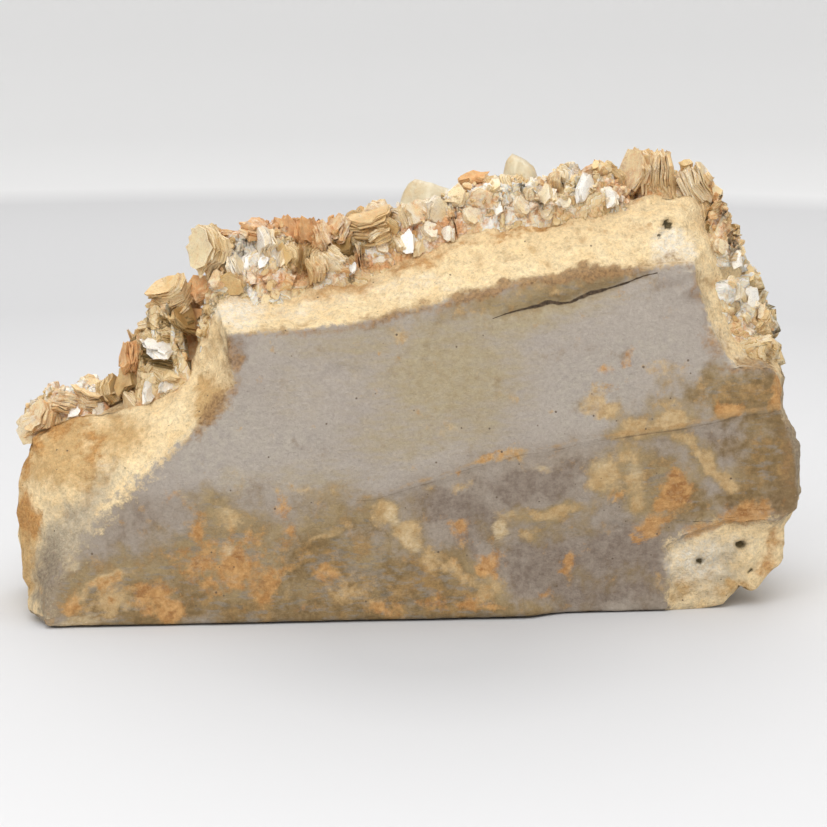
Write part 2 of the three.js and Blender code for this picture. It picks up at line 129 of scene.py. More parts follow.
# ---- The wall rock ---------------------------------------------------------------------------
# Stations round the slab, anticlockwise seen from the bare side, a list for each side. Each is
# x, z where the flat face ends, x, z, y on the outline, and the drop behind the face's edge.
FOOT = [
    (-91.5, 1.5, -90, 0, 4, 0), (-60, 1.2, -60, 0, 4.5, 0), (-28, 1.2, -28, 0, 5.5, 0),
    (0, 1.2, 0, 0, 6, 0), (25, 1.5, 25, 0, 7, 0), (48, 1.2, 48, 0, 7, 0), (66, 1.2, 66, 0, 7, 0),
]
RIGHT = [
    (66, 1.2, 66, 0, 7, 0), (65.7, 7, 76, 0, 8, 0.5), (66, 12, 81, 1, 8, 1), (65.5, 17.4, 86, 5.5, 8, 1.5),
    (75, 21.8, 89, 4.5, 9, 2), (85.5, 24.2, 96.5, 11, 10, 2), (94.5, 23, 98.2, 20, 11, 2),
    (99.4, 26.5, 101, 27, 13, 0.5), (98.5, 40, 101, 40, 14, 0.5), (94.3, 52, 97.5, 51.5, 13, 0.5),
    (92.5, 62.8, 98, 59.5, 14, 2), (83, 62.8, 95.5, 67, 22, 4.5), (80, 66, 94, 73, 24, 4.5),
    (76.8, 72.5, 92, 81.5, 26, 4), (74, 82, 88, 89, 27, 3), (72, 89.7, 82, 95.5, 27, 1.5),
]
TOP = [
    (-45.3, 72.5, -49.5, 82, 21, 0.5), (-27.4, 73.6, -30, 83, 22, 0.5), (-9, 76, -15, 84.7, 23, 0.5),
    (6, 79.8, 0, 89, 24, 0.5), (18, 82.5, 14.5, 95.5, 24, 0.5), (28, 84.5, 30, 99.5, 24, 0.5),
    (42, 86.5, 48, 102.5, 24, 0.5), (52, 87.4, 61, 104, 24, 0.5), (61, 88, 74, 105, 25, 0.5),
    (72, 89.7, 82, 95.5, 27, 1.5),
]
LEFT = [
    (-91.5, 1.5, -90, 0, 4, 0), (-90.5, 5, -96, 2.5, 10, 0), (-87.8, 12.3, -98, 12.5, 18, 0),
    (-83, 19.5, -99, 28.3, 24, 0), (-77.6, 27, -96, 43.8, 25, 0.3), (-67, 37, -88, 48.9, 24, 0.5),
    (-56.3, 46.6, -74, 52, 23, 0.6), (-50, 53, -65, 54, 20, 0.6), (-43.7, 60, -55, 59.7, 18, 0.6),
    (-44.5, 66, -51.5, 70, 19, 0.5), (-45.3, 72.5, -49.5, 82, 21, 0.5),
]
# The display side, broken along planes through three points each, x, y, z.
BACK_BREAKS = [
    ((-60, 51, 84), (60, 45, 102), (0, 76, 25)),
    ((-90, 71, 0), (90, 74, 0), (0, 78.5, 26)),
    ((-99, 46, 30), (-58, 80, 12), (-76, 60, 52)),
    ((101, 48, 40), (66, 80, 12), (82, 46, 92)),
]
CREASE = ((-9, 30.9), (23, 40.5), (48, 44.8), (70, 47.6), (94.3, 52))  # x, z: the face tilts under below it
CREASE_END = (25, 3.7)  # x, z: the tilted part's left limit runs from the crease to here
UNDER = 0.115  # how fast the face tilts under, by the height below the crease
CLIFF = 1.2  # the width of the drop behind the face's edge
FACE_ROUGH, BREAK_ROUGH = 0.35, 1.9  # how far the rock's lumps swell it, on the face and on the breaks
LUMP_SIZE, PIT_SIZE = 17, 7  # the lumps, and the hollows in them
LEFT_END, LUMP = (-52, 54), (58, 28)  # x, z: low down beyond these, the face's edge is worn and blurred
# The crack along the upper right of the face: x, z and half its width.
CRACK = np.array([
    (20, 75.6, 0.12), (23.5, 76.7, 0.2), (27, 77.6, 0.25), (30, 78.3, 0.5), (33, 78.9, 0.95),
    (35.5, 79.8, 1.1), (38, 79.3, 0.7), (41, 79.6, 0.45), (43, 80.6, 0.85), (46, 81.9, 0.8),
    (50, 82.9, 0.5), (54, 84.1, 0.3), (58, 85.5, 0.22), (61, 86.6, 0.15), (64, 87.3, 0.1),
])
# Pits where a crystal has dropped out: x, z and radius.
PITS = ((86, 15.8, 1.9), (75, 12.3, 1.2), (66.8, 97.6, 1.4), (64.2, 94.9, 0.8), (88.5, 9.5, 0.9))


def along(points, at):
    points = np.array(points, float)
    return np.interp(at, points[:, 0], points[:, 1])


def face(x, z):
    """How far back the flat face lies: it leans, and tilts under below the crease."""
    (left, low), (right, high) = CREASE[0], CREASE[-1]
    straight = np.interp(x, (left, right), (low, high)) + np.minimum(x - left, 0)
    limit = left + (CREASE_END[0] - left) * (low - z) / (low - CREASE_END[1])
    return LEAN * z + UNDER * np.maximum(straight - z, 0) * ease((x - limit) / 12)


def back(x, z):
    """How far back the display side lies."""
    depths = []
    for p, q, r in BACK_BREAKS:
        n = np.cross(np.subtract(q, p), np.subtract(r, p))
        depths.append(p[1] - (n[0] * (x - p[0]) + n[2] * (z - p[2])) / n[1])
    return np.minimum.reduce(depths)


def steps(side, count):
    """A side's stations at even steps along it."""
    side = np.array(side, float)
    inner = np.hypot(*np.diff(side[:, :2], axis=0).T)
    outer = np.hypot(*np.diff(side[:, 2:4], axis=0).T)
    run = np.concatenate([[0], np.cumsum(0.5 * (inner + outer) + 0.3)])
    at = np.linspace(0, run[-1], count + 1)
    return np.stack([np.interp(at, run, side[:, j]) for j in range(6)], axis=1)


def face_edge(s):
    return np.stack([s[:, 0], face(s[:, 0], s[:, 1]), s[:, 1]], axis=1)


def outline(s):
    return s[:, [2, 4, 3]]


def back_edge(s):
    return np.stack([s[:, 2], back(s[:, 2], s[:, 3]), s[:, 3]], axis=1)


def break_rows(s, count):
    """Rows of the break from the face's edge, over its drop, to the outline, and how far across."""
    edge, rim = face_edge(s), outline(s)
    width = np.hypot(rim[:, 0] - edge[:, 0], rim[:, 2] - edge[:, 2])
    share = np.minimum(CLIFF / width, 0.5)[:, None]
    cliff = edge + (rim - edge) * share
    cliff[:, 1] = edge[:, 1] + s[:, 5] + 0.15 * (cliff[:, 1] - edge[:, 1])
    at = np.linspace(0, 1, count - 1)
    rows = [edge, (edge + cliff) / 2] + [cliff + (rim - cliff) * t for t in at]
    across = [0.0, 0.03] + [0.06 + 0.94 * t for t in at]
    return np.array(rows), np.array(across)


def patch(foot, right, top, left, depth):
    """A grid of points between four sides, with y inside it from `depth`."""
    u = np.linspace(0, 1, len(foot))[None, :, None]
    v = np.linspace(0, 1, len(left))[:, None, None]
    p = foot[None] * (1 - v) + top[None] * v + left[:, None] * (1 - u) + right[:, None] * u
    corners = foot[0] * (1 - u) * (1 - v) + foot[-1] * u * (1 - v) + top[0] * (1 - u) * v + top[-1] * u * v
    p = p - corners
    inner = p[1:-1, 1:-1]
    inner[..., 1] = depth(inner[..., 0], inner[..., 2])
    return p


def sew(grids):
    """Grids of (points, zone) joined where they meet: points, a zone for each, and the quads."""
    points, zones, quads, start = [], [], [], 0
    for grid, zone in grids:
        rows, columns = grid.shape[:2]
        index = start + np.arange(rows * columns).reshape(rows, columns)
        corners = [index[:-1, :-1], index[:-1, 1:], index[1:, 1:], index[1:, :-1]]
        quads.append(np.stack([c.ravel() for c in corners], axis=1))
        points.append(grid.reshape(-1, 3))
        zones.append(zone.ravel())
        start += rows * columns
    points, zones, quads = np.concatenate(points), np.concatenate(zones), np.concatenate(quads)
    keys = np.round(points * 1e4).astype(np.int64)
    _, first, same = np.unique(keys, axis=0, return_index=True, return_inverse=True)
    return points[first], zones[first], same.ravel()[quads]


def slab(across, upward, break_count, rim_count):
    """The slab before it is roughened. Zone: 0 on the face, to 1 over the break, 2 at the display
    side's edge, and 3 on the display side."""
    sides = [steps(FOOT, across), steps(RIGHT, upward), steps(TOP, across), steps(LEFT, upward)]
    foot, right, top, left = sides
    around = np.concatenate([foot, right[1:], top[:-1][::-1], left[:-1][::-1]])
    front = patch(*[face_edge(s) for s in sides], face)
    rows, share = break_rows(around, break_count)
    rim = np.linspace(0, 1, rim_count + 1) ** 1.4
    rim_rows = outline(around) * (1 - rim)[:, None, None] + back_edge(around) * rim[:, None, None]
    display = patch(*[back_edge(s) for s in sides], back)
    return sew([
        (front, np.zeros(front.shape[:2])),
        (rows[::-1], np.repeat(share[::-1, None], len(around), axis=1)),
        (rim_rows[::-1], np.repeat(1 + rim[::-1, None], len(around), axis=1)),
        (display[:, ::-1], np.full(display.shape[:2], 3.0)),
    ])


def warp(p):
    """The broken rock's large lumps: little near the flat face, more away from it."""
    broken = ease((p[:, 1] - face(p[:, 0], p[:, 2]) - 1) / 6)
    most = FACE_ROUGH + (BREAK_ROUGH - FACE_ROUGH) * broken
    way = [lattice(p, LUMP_SIZE, salt) + 0.5 * lattice(p, PIT_SIZE, salt + 1) for salt in (1, 3, 5)]
    free = np.clip(p[:, 2] / 8, 0, 1)
    return np.stack([0.5 * most * way[0], most * way[1], 0.5 * most * way[2] * free], axis=1)


def normals_of(points, quads):
    """A unit normal for each point, from the quads round it."""
    a, b, c, d = (points[quads[:, i]] for i in range(4))
    facing = np.cross(c - a, d - b)
    total = np.zeros_like(points)
    for i in range(4):
        np.add.at(total, quads[:, i], facing)
    return total / np.maximum(np.linalg.norm(total, axis=1, keepdims=True), 1e-9)


def edge_distance(x, z, line):
    """Distance in mm from each x, z to a line of points."""
    line = np.array(line, float)
    best = np.full(len(x), 1e9)
    for (ax, az), (bx, bz) in zip(line[:-1], line[1:]):
        dx, dz = bx - ax, bz - az
        t = np.clip(((x - ax) * dx + (z - az) * dz) / (dx * dx + dz * dz), 0, 1)
        best = np.minimum(best, np.hypot(x - ax - t * dx, z - az - t * dz))
    return best


# Stains and changes of colour: x, z, half length, half height, turn in degrees, strength.
STAINS = {
    # Orange to rust-brown iron stains.
    "rust": [
        # The orange field on the left of the face, and the patch at the lower left.
        (-45, 15, 10.5, 7, 0, 0.95), (-45, 16, 5.5, 4.5, 0, 1.2), (-37, 12, 4, 5, -30, 1.05),
        (-52, 16, 3, 3.5, 0, 0.9), (-63, 6.5, 6.5, 5, 0, 1.0), (-67, 9, 3.5, 2.5, 0, 1.2),
        (-60, 3, 3.5, 2, 0, 1.1),
        # Streaks and flecks round them.
        (-57, 31, 5.5, 1.6, -35, 0.85), (-54, 24, 2, 3.5, 15, 0.8), (-76, 11.5, 6.5, 1.4, 17, 0.75),
        (-86, 6, 3.5, 2.5, 30, 0.8), (-33, 28, 2, 2.5, 0, 0.85), (-31, 25, 3, 1.6, 0, 0.9),
        (-22, 12, 4, 2.5, 0, 0.7), (-28, 4, 3, 1.5, 0, 0.75), (-8, 3.5, 6, 2.2, 0, 0.8),
        (-3, 15, 2, 2.5, 0, 0.6), (4, 5, 4, 2, 0, 0.7), (18, 4, 6, 1.4, 0, 0.95),
        # Spots on the dark rock in the middle.
        (11, 24, 2, 2.6, 15, 1.05), (16, 19, 1, 1, 0, 0.95), (20, 13.5, 3.8, 3.2, -15, 1.0),
        (18, 12, 2, 1.6, 0, 1.15), (40.5, 14, 1.4, 3, -10, 1.0), (38.5, 11.5, 1.6, 1, 0, 0.9),
        (33.5, 5, 2.5, 1.2, 0, 0.85),
        # The rust-brown patch on the right, and its trail down to the left.
        (69, 31.5, 4, 4.5, 0, 1.4), (66, 28, 4, 2.2, 20, 1.3), (71, 36, 2.5, 2, 0, 1.0),
        (61, 23, 4.5, 2.5, 30, 1.15), (57, 19, 1.7, 1, 0, 1.2), (51, 31, 3, 1.2, 0, 0.9),
        # Along the crease, above it, and at the right edge.
        (21, 41, 5, 1.2, 14, 1.0), (11.5, 37, 5, 0.9, 24, 0.75), (38, 43.6, 5.5, 1, 5, 0.7),
        (80.5, 52.5, 3.2, 1.8, 0, 1.1), (50, 62.5, 2, 1.7, 0, 0.8), (55.5, 65, 1.4, 2.2, 0, 0.75),
        (93, 57, 1.8, 5, 0, 1.1),
        # On the breaks.
        (86, 25.4, 8, 2.8, 6, 1.25), (76, 21.5, 6, 2, 18, 0.9), (94, 18, 2.4, 4.5, 0, 0.7),
        (93, 10, 3.4, 4, 0, 0.7), (-75, 55, 10, 2.4, 4, 0.95), (-88, 49, 7, 4, 25, 0.9),
        (-80, 44, 5, 4, 20, 0.7), (-97, 38, 3, 5, 0, 0.8), (-96, 26, 3, 5.5, 0, 1.1),
        (-94, 44, 3, 5, 0, 0.8), (-60, 58, 5, 2.4, 40, 0.65), (-51, 76, 3, 6, 0, 0.75),
        (-56, 70, 4, 5, 0, 0.6), (-53, 84, 3, 5, 0, 0.6), (30, 96.8, 20, 2.4, 11, 0.7),
        (5, 89, 9, 2.4, 24, 0.75), (-18, 82.6, 12, 2.4, 3, 0.7), (-38, 81, 8, 2, 0, 0.6),
        (46, 101, 14, 2.6, 4, 0.6), (56, 97, 8, 3, 0, 0.5), (78, 84, 3, 3.5, 0, 0.6),
        (-46, 86, 5, 2.5, 0, 0.5), (60, 106, 9, 3, 0, 0.5),
    ],
    # An olive-ochre wash, uneven, under the stains.
    "wash": [
        (-72, 9, 22, 9, 6, 0.95), (-46, 16, 18, 11, 0, 0.95), (-45, 5, 30, 5, 0, 0.85),
        (-14, 11, 18, 10, 0, 1.1), (8, 9, 16, 7, -30, 1.0), (-2, 3, 36, 2.6, 0, 0.9),
        (-20, 27, 16, 5, 5, 0.7), (-50, 30, 9, 4, -30, 0.55), (66, 33, 9, 8, 0, 0.9),
        (52, 36, 6, 6, 0, 0.75), (36, 26, 11, 2.4, 9, 0.65), (74, 40, 8, 4, -45, 0.65),
        (88, 34, 7, 5, 0, 0.9), (92, 42, 8, 10, 0, 0.85), (40, 22, 20, 3, 5, 0.45),
        (50, 9, 12, 3, 0, 0.4), (72, 27, 9, 5, 0, 0.7), (20, 20, 6, 3, -30, 0.5),
        (82, 57, 11, 5, 0, 0.85), (64, 52, 11, 4, 4, 0.6), (58, 47, 14, 1.6, 6, 0.6),
        (36, 82, 20, 3.5, 10, 0.8), (18, 79.5, 12, 3, 12, 0.6), (-86, 5, 6, 4, 0, 0.6),
    ],
    # Cream-ochre and peach patches.
    "ochre": [
        # Above the crease.
        (66, 50.3, 5.5, 1.8, 4, 1.25), (66, 53.6, 4.5, 1.6, 0, 0.8), (49.5, 52, 3.2, 2.2, 0, 1.15),
        (45.5, 55, 3, 2.6, 0, 0.85), (56, 48.5, 3.4, 2, 0, 0.95), (58, 46.6, 7, 1.1, 8, 0.9),
        (65, 61, 4, 3, 0, 0.6), (25, 57, 2.5, 3.5, 0, 0.5), (22, 41, 7, 1.3, 14, 0.9),
        (9, 36, 6, 0.9, 24, 0.7), (7, 49, 4, 2, 0, 0.4),
        # Below it.
        (50, 35.5, 4, 4, 0, 1.2), (55, 40.5, 5, 3, 0, 0.75), (57.5, 32, 2.2, 6, 10, 0.95),
        (77, 38.5, 8, 1.4, -45, 1.3), (82, 33.5, 2.6, 1.4, -20, 0.95), (70, 45, 4, 1.4, -20, 0.85),
        (36, 26.5, 9, 1.4, 9, 1.05), (26, 26.5, 3.5, 1.6, 0, 0.6), (44, 28.5, 4, 1.4, 20, 0.75),
        (30, 21, 2.4, 2.4, 0, 0.65), (13, 33.5, 4, 1.3, 10, 0.6), (32, 38.5, 4, 1.6, 0, 0.55),
        # The broken line that falls to the right across the middle.
        (-6, 28, 4, 2.4, -45, 1.15), (-1.5, 22.5, 4.5, 2.6, -45, 1.2), (5, 17, 4, 1.6, -45, 0.75),
        (10.5, 12.5, 5, 1.2, -38, 0.7), (18, 7.5, 6, 1.2, -35, 0.65), (-10, 26, 4, 1.4, -20, 0.6),
        # The lower left.
        (-45, 27, 5.5, 3, 0, 0.85), (-76, 11.8, 6.5, 1.5, 17, 1.1), (-83, 8.5, 3.6, 1.4, 35, 1.0),
        (-74, 6, 6, 3, 0, 0.8), (-61.5, 5.5, 2.4, 2, 0, 0.9), (-45, 6.3, 3, 1.3, 0, 0.85),
        (-31.5, 9, 1, 5, 15, 0.8), (-35, 17.5, 1, 4, 35, 0.65), (21, 9.5, 3, 2.4, 0, 0.85),
        (-74, 8, 5, 1.2, 17, 0.9), (-19.5, 23.5, 3.6, 1, 25, 0.8), (-22, 33, 9, 2.6, 0, 0.5),
        (-44, 36, 2.4, 4, 0, 0.45), (-14, 8, 10, 5, 0, 0.5),
        # The thin ledge along the top, and the breaks.
        (34, 83, 16, 2.4, 12, 0.6), (22, 80, 9, 3, 15, 0.5), (-2, 74, 4, 2.6, 20, 0.5),
        (50, 86.3, 9, 2, 8, 0.7), (82, 60, 10, 2.2, 0, 0.4), (72, 7, 7, 4, 0, 0.6),
        (85, 4.5, 7, 3, 0, 0.7), (-50, 56, 4, 6, -40, 0.9), (-88, 42, 10, 9, 25, 1.0),
        (-74, 46, 9, 5, 10, 0.85), (-97, 20, 3.5, 14, 0, 0.9), (34, 95, 22, 4, 6, 0.5),
    ],
    # A dark brown-olive wash.
    "umber": [
        (97, 40, 5, 14, 0, 1.3), (91, 37, 7, 6, 0, 0.95), (85, 43, 7, 3.5, 10, 0.7),
        (89, 57, 8, 4.5, 0, 0.95), (80, 57, 9, 4, 0, 0.7), (86, 29, 8, 3, 0, 0.7),
        (70, 29, 6, 5, 30, 0.8), (-22, 13, 14, 7, -10, 0.75), (-4, 8, 12, 6, -30, 0.6),
        (-10, 22, 10, 4, -25, 0.5), (-50, 3, 34, 3, 0, 0.9), (-4, 3, 26, 3, 0, 0.95),
        (-60, 8, 12, 5, 0, 0.7), (-38, 20, 6, 4, -30, 0.4), (1, 11, 9, 7, -30, 0.95),
        (-30, 12, 8, 8, 0, 0.6), (-80, 6, 8, 4, 10, 0.5), (-15, 4, 10, 4, 0, 0.7), (88, 50, 9, 3, 8, 0.6),
        (44, 84, 22, 3, 9, 0.4),
    ],
    # Brown grains along the face's broken edge, partly painted shade under the lip of the breaks.
    "edge_stain_and_shade": [
        (-49, 54, 2.6, 9, -38, 0.95), (-44.5, 67, 2.4, 6, 0, 0.9), (-30, 73.4, 16, 1.4, 3, 0.75),
        (-4, 77.4, 12, 1.8, 14, 0.85), (18, 82.4, 13, 1.8, 14, 1.1), (44, 86.4, 17, 1.9, 7, 1.15),
        (66, 89.2, 8, 2, 6, 0.7), (73, 84, 2.4, 7, 10, 0.7), (78, 69, 3, 5, 35, 0.7),
        (87, 63, 8, 1.4, 0, 0.8), (97, 40, 2.4, 14, 0, 0.6), (78, 22.6, 12, 1.6, 14, 0.4),
        (-60, 44, 4, 3, 42, 0.5),
    ],
    # Cream grains.
    "pale": [
        (-5, 27, 3, 1.5, -45, 0.9), (0, 21, 3.5, 1.5, -45, 0.9), (22.5, 22.5, 1.6, 3, 0, 1.1),
        (26, 26.5, 3, 1, 5, 0.6), (49, 38.5, 3, 2.5, 0, 0.7), (57, 36, 2, 3, 0, 0.6),
        (33, 39, 3, 1.5, 0, 0.6), (-84, 1.8, 6, 1.8, 0, 0.8), (-47, 18, 1.5, 2.5, -20, 0.7),
        (-43, 12, 2, 1.2, 20, 0.6), (-76, 12.5, 3, 0.7, 17, 0.6), (66, 51, 3, 0.8, 4, 0.6),
        (50, 52.5, 1.5, 1, 0, 0.6), (-57, 32, 3, 0.8, -35, 0.6), (-46, 28, 3, 1.5, 0, 0.7),
        (-86, 16, 2.5, 3, -35, 0.6),
    ],
    # Purplish brown: mostly the rock's own dark colour; painted shade at the lower left corner and along
    # the foot.
    "shade": [
        # The left of the face.
        (-66, 28, 8, 5, 20, 0.6), (-73, 22, 6, 4, 20, 0.55), (-37, 34, 6, 2.2, 0, 0.45),
        (-27, 43, 8, 2, 5, 0.3), (-36.5, 4.5, 3, 3, 0, 0.6), (-51, 5, 5, 2.6, 0, 0.5),
        (-24, 15, 2.5, 5, 20, 0.45), (-15, 28.5, 8, 1.6, 5, 0.5),
        # Below the crease.
        (10, 29, 8, 4.5, -10, 1.0), (17, 25, 7, 4.5, -30, 0.95), (30, 34, 12, 4.2, 5, 0.95),
        (42, 38, 8, 2.4, 5, 0.9), (36, 15, 14, 6.5, 0, 0.95), (52, 16, 9, 8, 0, 1.0),
        (60, 12, 6.5, 8, 0, 1.0), (45, 6, 17, 3.5, 0, 1.05), (29, 10, 5, 5, -40, 0.9),
        (14, 19, 4, 4, -45, 0.8), (62, 40, 4, 2.6, 0, 0.8), (71, 46, 8, 1.2, 5, 0.7),
        (80, 45, 8, 2.2, 8, 0.7), (88, 47.5, 4, 1.8, 5, 1.0), (82, 29, 5, 3.5, 0, 0.7),
        (93, 31, 5, 4.5, 0, 1.0),
        # The right, the top and the foot; the thin band along the foot is painted shadow where it meets the
        # floor.
        (97, 38, 4.5, 13, 0, 1.2), (90, 35, 7, 5, 0, 0.75), (85, 41, 7, 3, 10, 0.6),
        (96, 55, 3, 6, 0, 0.8), (82, 58.5, 10, 4.2, 0, 0.9), (91, 60, 3, 3, 0, 1.0),
        (72, 81, 3.5, 3, 40, 0.6), (66, 84.5, 6, 1.6, 20, 0.6), (2, 1.4, 60, 1.2, 0, 0.8),
        # On the breaks; the four at the lower left corner are painted shade.
        (-91, 12, 4.5, 8, -8, 1.0), (-86, 8, 6, 6, -20, 0.6), (-88, 5, 4, 4, 0, 0.8),
        (-93, 22, 3, 6, 0, 0.4), (-44, 70, 3, 4, 0, 0.75), (75, 78, 1.6, 7, 15, 0.5),
        (80, 12, 8, 1.4, 10, 0.5),
    ],
    # Olive grey.
    "warm": [
        (10, 62, 17, 14, 0, 0.9), (-8, 70, 22, 5, 0, 0.6), (30, 77, 20, 5, 12, 0.8),
        (-3, 46, 13, 6, 0, 0.6), (-25, 36, 14, 4, 0, 0.5), (-28, 58, 9, 8, 0, 0.3),
        (18, 50, 8, 7, 0, 0.6), (84, 57, 10, 6, 0, 0.7), (-44, 36, 4, 5, 0, 0.5),
    ],
    # Pale bluish grey.
    "cool": [
        (-85, 22, 6, 12, -30, 0.9), (-79, 33, 5, 7, -45, 0.6), (-90, 10, 6, 8, 0, 0.7),
        (-46, 49, 11, 6, 25, 0.8), (-33, 45, 15, 5, 12, 0.7), (-53, 41, 6, 3, 10, 0.9),
        (60, 68, 14, 6, 0, 0.8), (46, 58, 12, 9, 0, 0.8), (-38, 67, 8, 4, 0, 0.5), (38, 51, 8, 5, 0, 0.6),
        (73, 62, 5, 4, 0, 0.5), (77, 10, 11, 8, 0, 0.7), (-19, 11, 1.6, 1.6, 0, 1.0),
        (-24, 9, 1.4, 1.4, 0, 0.9), (-10.5, 5, 1.8, 1.6, 0, 1.0), (-6, 14, 1.6, 2, 0, 0.8),
        (-30.5, 4.5, 1.8, 1.4, 0, 0.9), (-40, 26, 2.5, 1.6, 0, 0.6), (-82, 16, 5, 3, 0, 0.5),
    ],
    # The whitest grains of the breaks.
    "bright": [
        (-42, 78, 6, 3.6, 0, 0.9), (66, 93, 4, 3.6, 35, 1.1), (-25, 79, 14, 2.2, 8, 0.5),
        (71, 91.5, 3, 4, 0, 0.7), (2, 83.5, 12, 2, 6, 0.5), (79, 70, 2, 5, 25, 0.5),
        (86, 64.8, 5, 1.2, 0, 0.5), (74, 13, 8, 6, 0, 0.75), (83, 16, 6, 3, 10, 0.5),
        (80, 18, 5, 2, 0, 0.4), (-76, 40, 3, 3, 45, 0.4),
    ],
}


def stain(x, z, blobs):
    total = np.zeros(len(x))
    for cx, cz, rx, rz, turn, strength in blobs:
        c, s = math.cos(math.radians(turn)), math.sin(math.radians(turn))
        u, v = (x - cx) * c + (z - cz) * s, (z - cz) * c - (x - cx) * s
        total = np.maximum(total, strength * np.exp(-0.5 * ((u / rx) ** 2 + (v / rz) ** 2) ** 1.3))
    return total


def roughen(base, zones, quads):
    """The finished surface of the rock in mm, and what colours it, point by point."""
    p = base + warp(base)
    n = normals_of(p, quads)
    x, z = base[:, 0], base[:, 2]
    on_face = zones == 0
    rim_line = [s[:2] for s in LEFT] + [s[:2] for s in TOP[1:]] + [s[:2] for s in RIGHT[::-1][1:]]
    rim_distance = edge_distance(x, z, rim_line)
    free = ease(z / 2.5)
    broken = np.where(on_face, 0, ease(zones / 0.12))

    # The face: nearly flat, a few shallow steps and scars.
    calm = 0.16 * rough(base, 15, 4, 11) + 0.07 * rough(base, 3, 2, 12)
    scars = -0.35 * ease((rough(base * np.array([0.5, 1, 1]), 9, 3, 13) - 0.34) / 0.1)
    # The breaks: granular, hackly.
    ridges = np.abs(rough(base, 7, 3, 16))
    crumb = 1.3 * rough(base, 9, 4, 14, 0.6) + 0.8 * rough(base, 3, 2, 15, 0.7) - 1.3 * ridges
    move = np.where(on_face, calm + scars, 0) * (1 - broken) + crumb * broken
    p = p + n * (move * free)[:, None]

    # Its edge is ragged.
    ragged = np.exp(-np.where(on_face, rim_distance, np.clip(zones, 0, 1) * 12) / 2.2) * (zones <= 1) * free
    ragged = ragged * (1 - 0.8 * ease((LEFT_END[0] - x) / 14))
    p[:, 0] += 1.0 * ragged * rough(base, 5, 4, 17, 0.7)
    p[:, 2] += 1.2 * ragged * rough(base, 4.5, 4, 18, 0.7)

    # The crease: the upper face ends in a thin overhanging ledge.
    below = along(CREASE, x) + 0.6 * rough(base, 7, 3, 19) - z
    started = ease((x + 14) / 10) * on_face * ease(rim_distance / 2)
    ledge = 0.35 + 0.3 * ease((x - 30) / 30)
    p[:, 1] += ledge * ease(below / 0.6) * np.exp(-np.clip(below, 0, None) / 5) * started
    # The crack, and the thin layer above it.
    off = z - np.interp(x, CRACK[:, 0], CRACK[:, 1])
    inside = ease((x - CRACK[0, 0]) / 5) * ease((CRACK[-1, 0] - x) / 5) * (zones <= 0.1)
    half = (1.2 * np.interp(x, CRACK[:, 0], CRACK[:, 2]) + 0.05) * (1 + 1.1 * rough(base, 3, 3, 27, 0.7))
    lifted = 0.5 * ease(off / 1.2) * np.exp(-np.clip(off, 0, None) / 7)
    p[:, 1] += inside * (1.2 * ease(1.6 - np.abs(off) / (half + 0.3)) + lifted)
    # How far into a pit, for the painted shade that darkens it.
    pit = np.zeros(len(p))
    for px, pz, radius in PITS:
        near = np.hypot(x - px, (z - pz) * 1.3) / radius + 0.5 * rough(base, 2.4, 2, 20)
        p[:, 1] += 1.4 * radius * ease(1.4 - near) * (zones <= 1)
        pit = np.maximum(pit, ease(1.5 - near) * (zones <= 1))
    p[:, 2] = np.where(z <= 0, 0, np.maximum(p[:, 2], 0.05))

    # Stains spread unevenly.
    spread = 3.6 * rough(base, 7, 5, 31, 0.75), 3.0 * rough(base, 6, 5, 32, 0.75)
    stains = {name: stain(x + spread[0], z + spread[1], blobs) * (zones <= 1.15)
              for name, blobs in STAINS.items()}
    beyond = np.where(on_face, -rim_distance, rim_distance)
    stains["beyond"] = np.clip(np.where((z < 2.5) & (zones < 1) & (x < 66), -6, beyond), -12, 12)
    left_end = ease((LEFT_END[0] - x) / 14) * ease((LEFT_END[1] - z) / 12)
    lump = ease((x - LUMP[0]) / 5) * ease((LUMP[1] - z) / 4)
    stains["fray"] = 1 + 3.2 * left_end + 1.8 * lump
    stains["crease"] = np.clip(np.where(on_face & (x > -16), -below, 20), -20, 20)
    low_down, far_right = ease((along(CREASE, x) + 9 - z) / 12), ease((x - 78) / 12)
    # Darker below the crease and towards the right, where its iron patches are wilder too.
    stains["low_and_right"] = np.clip(0.18 + 0.9 * low_down + 0.4 * far_right, 0, 1)
    # The offset from the crack, for the painted shadow in it.
    stains["crack"] = np.where(inside > 0.05, np.clip(off, -9, 9), 9)
    stains["gape"] = 0.12 + 0.95 * half
    # Painted shade: the hollows of the breaks are coloured darker and browner than their ridges.
    stains["hollow"] = ease((0.15 - crumb - 0.9 * ridges) / 1.5) * broken
    stains["hidden"] = ease(zones - 1.0)
    stains["pit"] = pit
    return p, stains


# ---- Where the muscovite grows -----------------------------------------------------------------
FAR = 300  # beyond the specimen on every side
BANK, SHELF, STEP = "muscovite_bank", "muscovite_shelf", "muscovite_step"
PEAK, SHOULDER = "muscovite_peak", "muscovite_shoulder"
# Each cluster grows between the corners low and high, and its gap to the next keeps it within x and z.
# Fine mica heaps up on it, clear of its border. Some reach forward at the right end.
PATCHES = {
    SHELF: dict(low=(-103, 24, 38), high=(-72, 64, 90), x=(-FAR, -74), z=(0, FAR), heap=9, clear=1.5),
    STEP: dict(low=(-74, 15, 46), high=(-52, 64, 96), x=(-73.3, -53.6), z=(0, FAR), heap=20, clear=0.5),
    BANK: dict(low=(-55, 17, 26), high=(62, 110, 140), x=(-53, 60.6), z=(0, FAR), heap=15, clear=3.5),
    PEAK: dict(low=(60, 23, 84), high=(94, 60, 140), x=(61.3, FAR), z=(84, FAR), heap=14, clear=0.5,
               forward=9),
    SHOULDER: dict(low=(70, 21, 62), high=(110, 70, 94), x=(61.3, FAR), z=(0, 83.4), heap=2, clear=4,
                   forward=8),
}
FORWARD_FROM = 77  # x: right of here a cluster may reach forward
CRUST_BACK = 38  # y: from here back the crust's border is ragged and it doesn't heap up
BROW = ((-48, 17), (70, 27))  # x, y: where the pale bevel ends and the mica begins
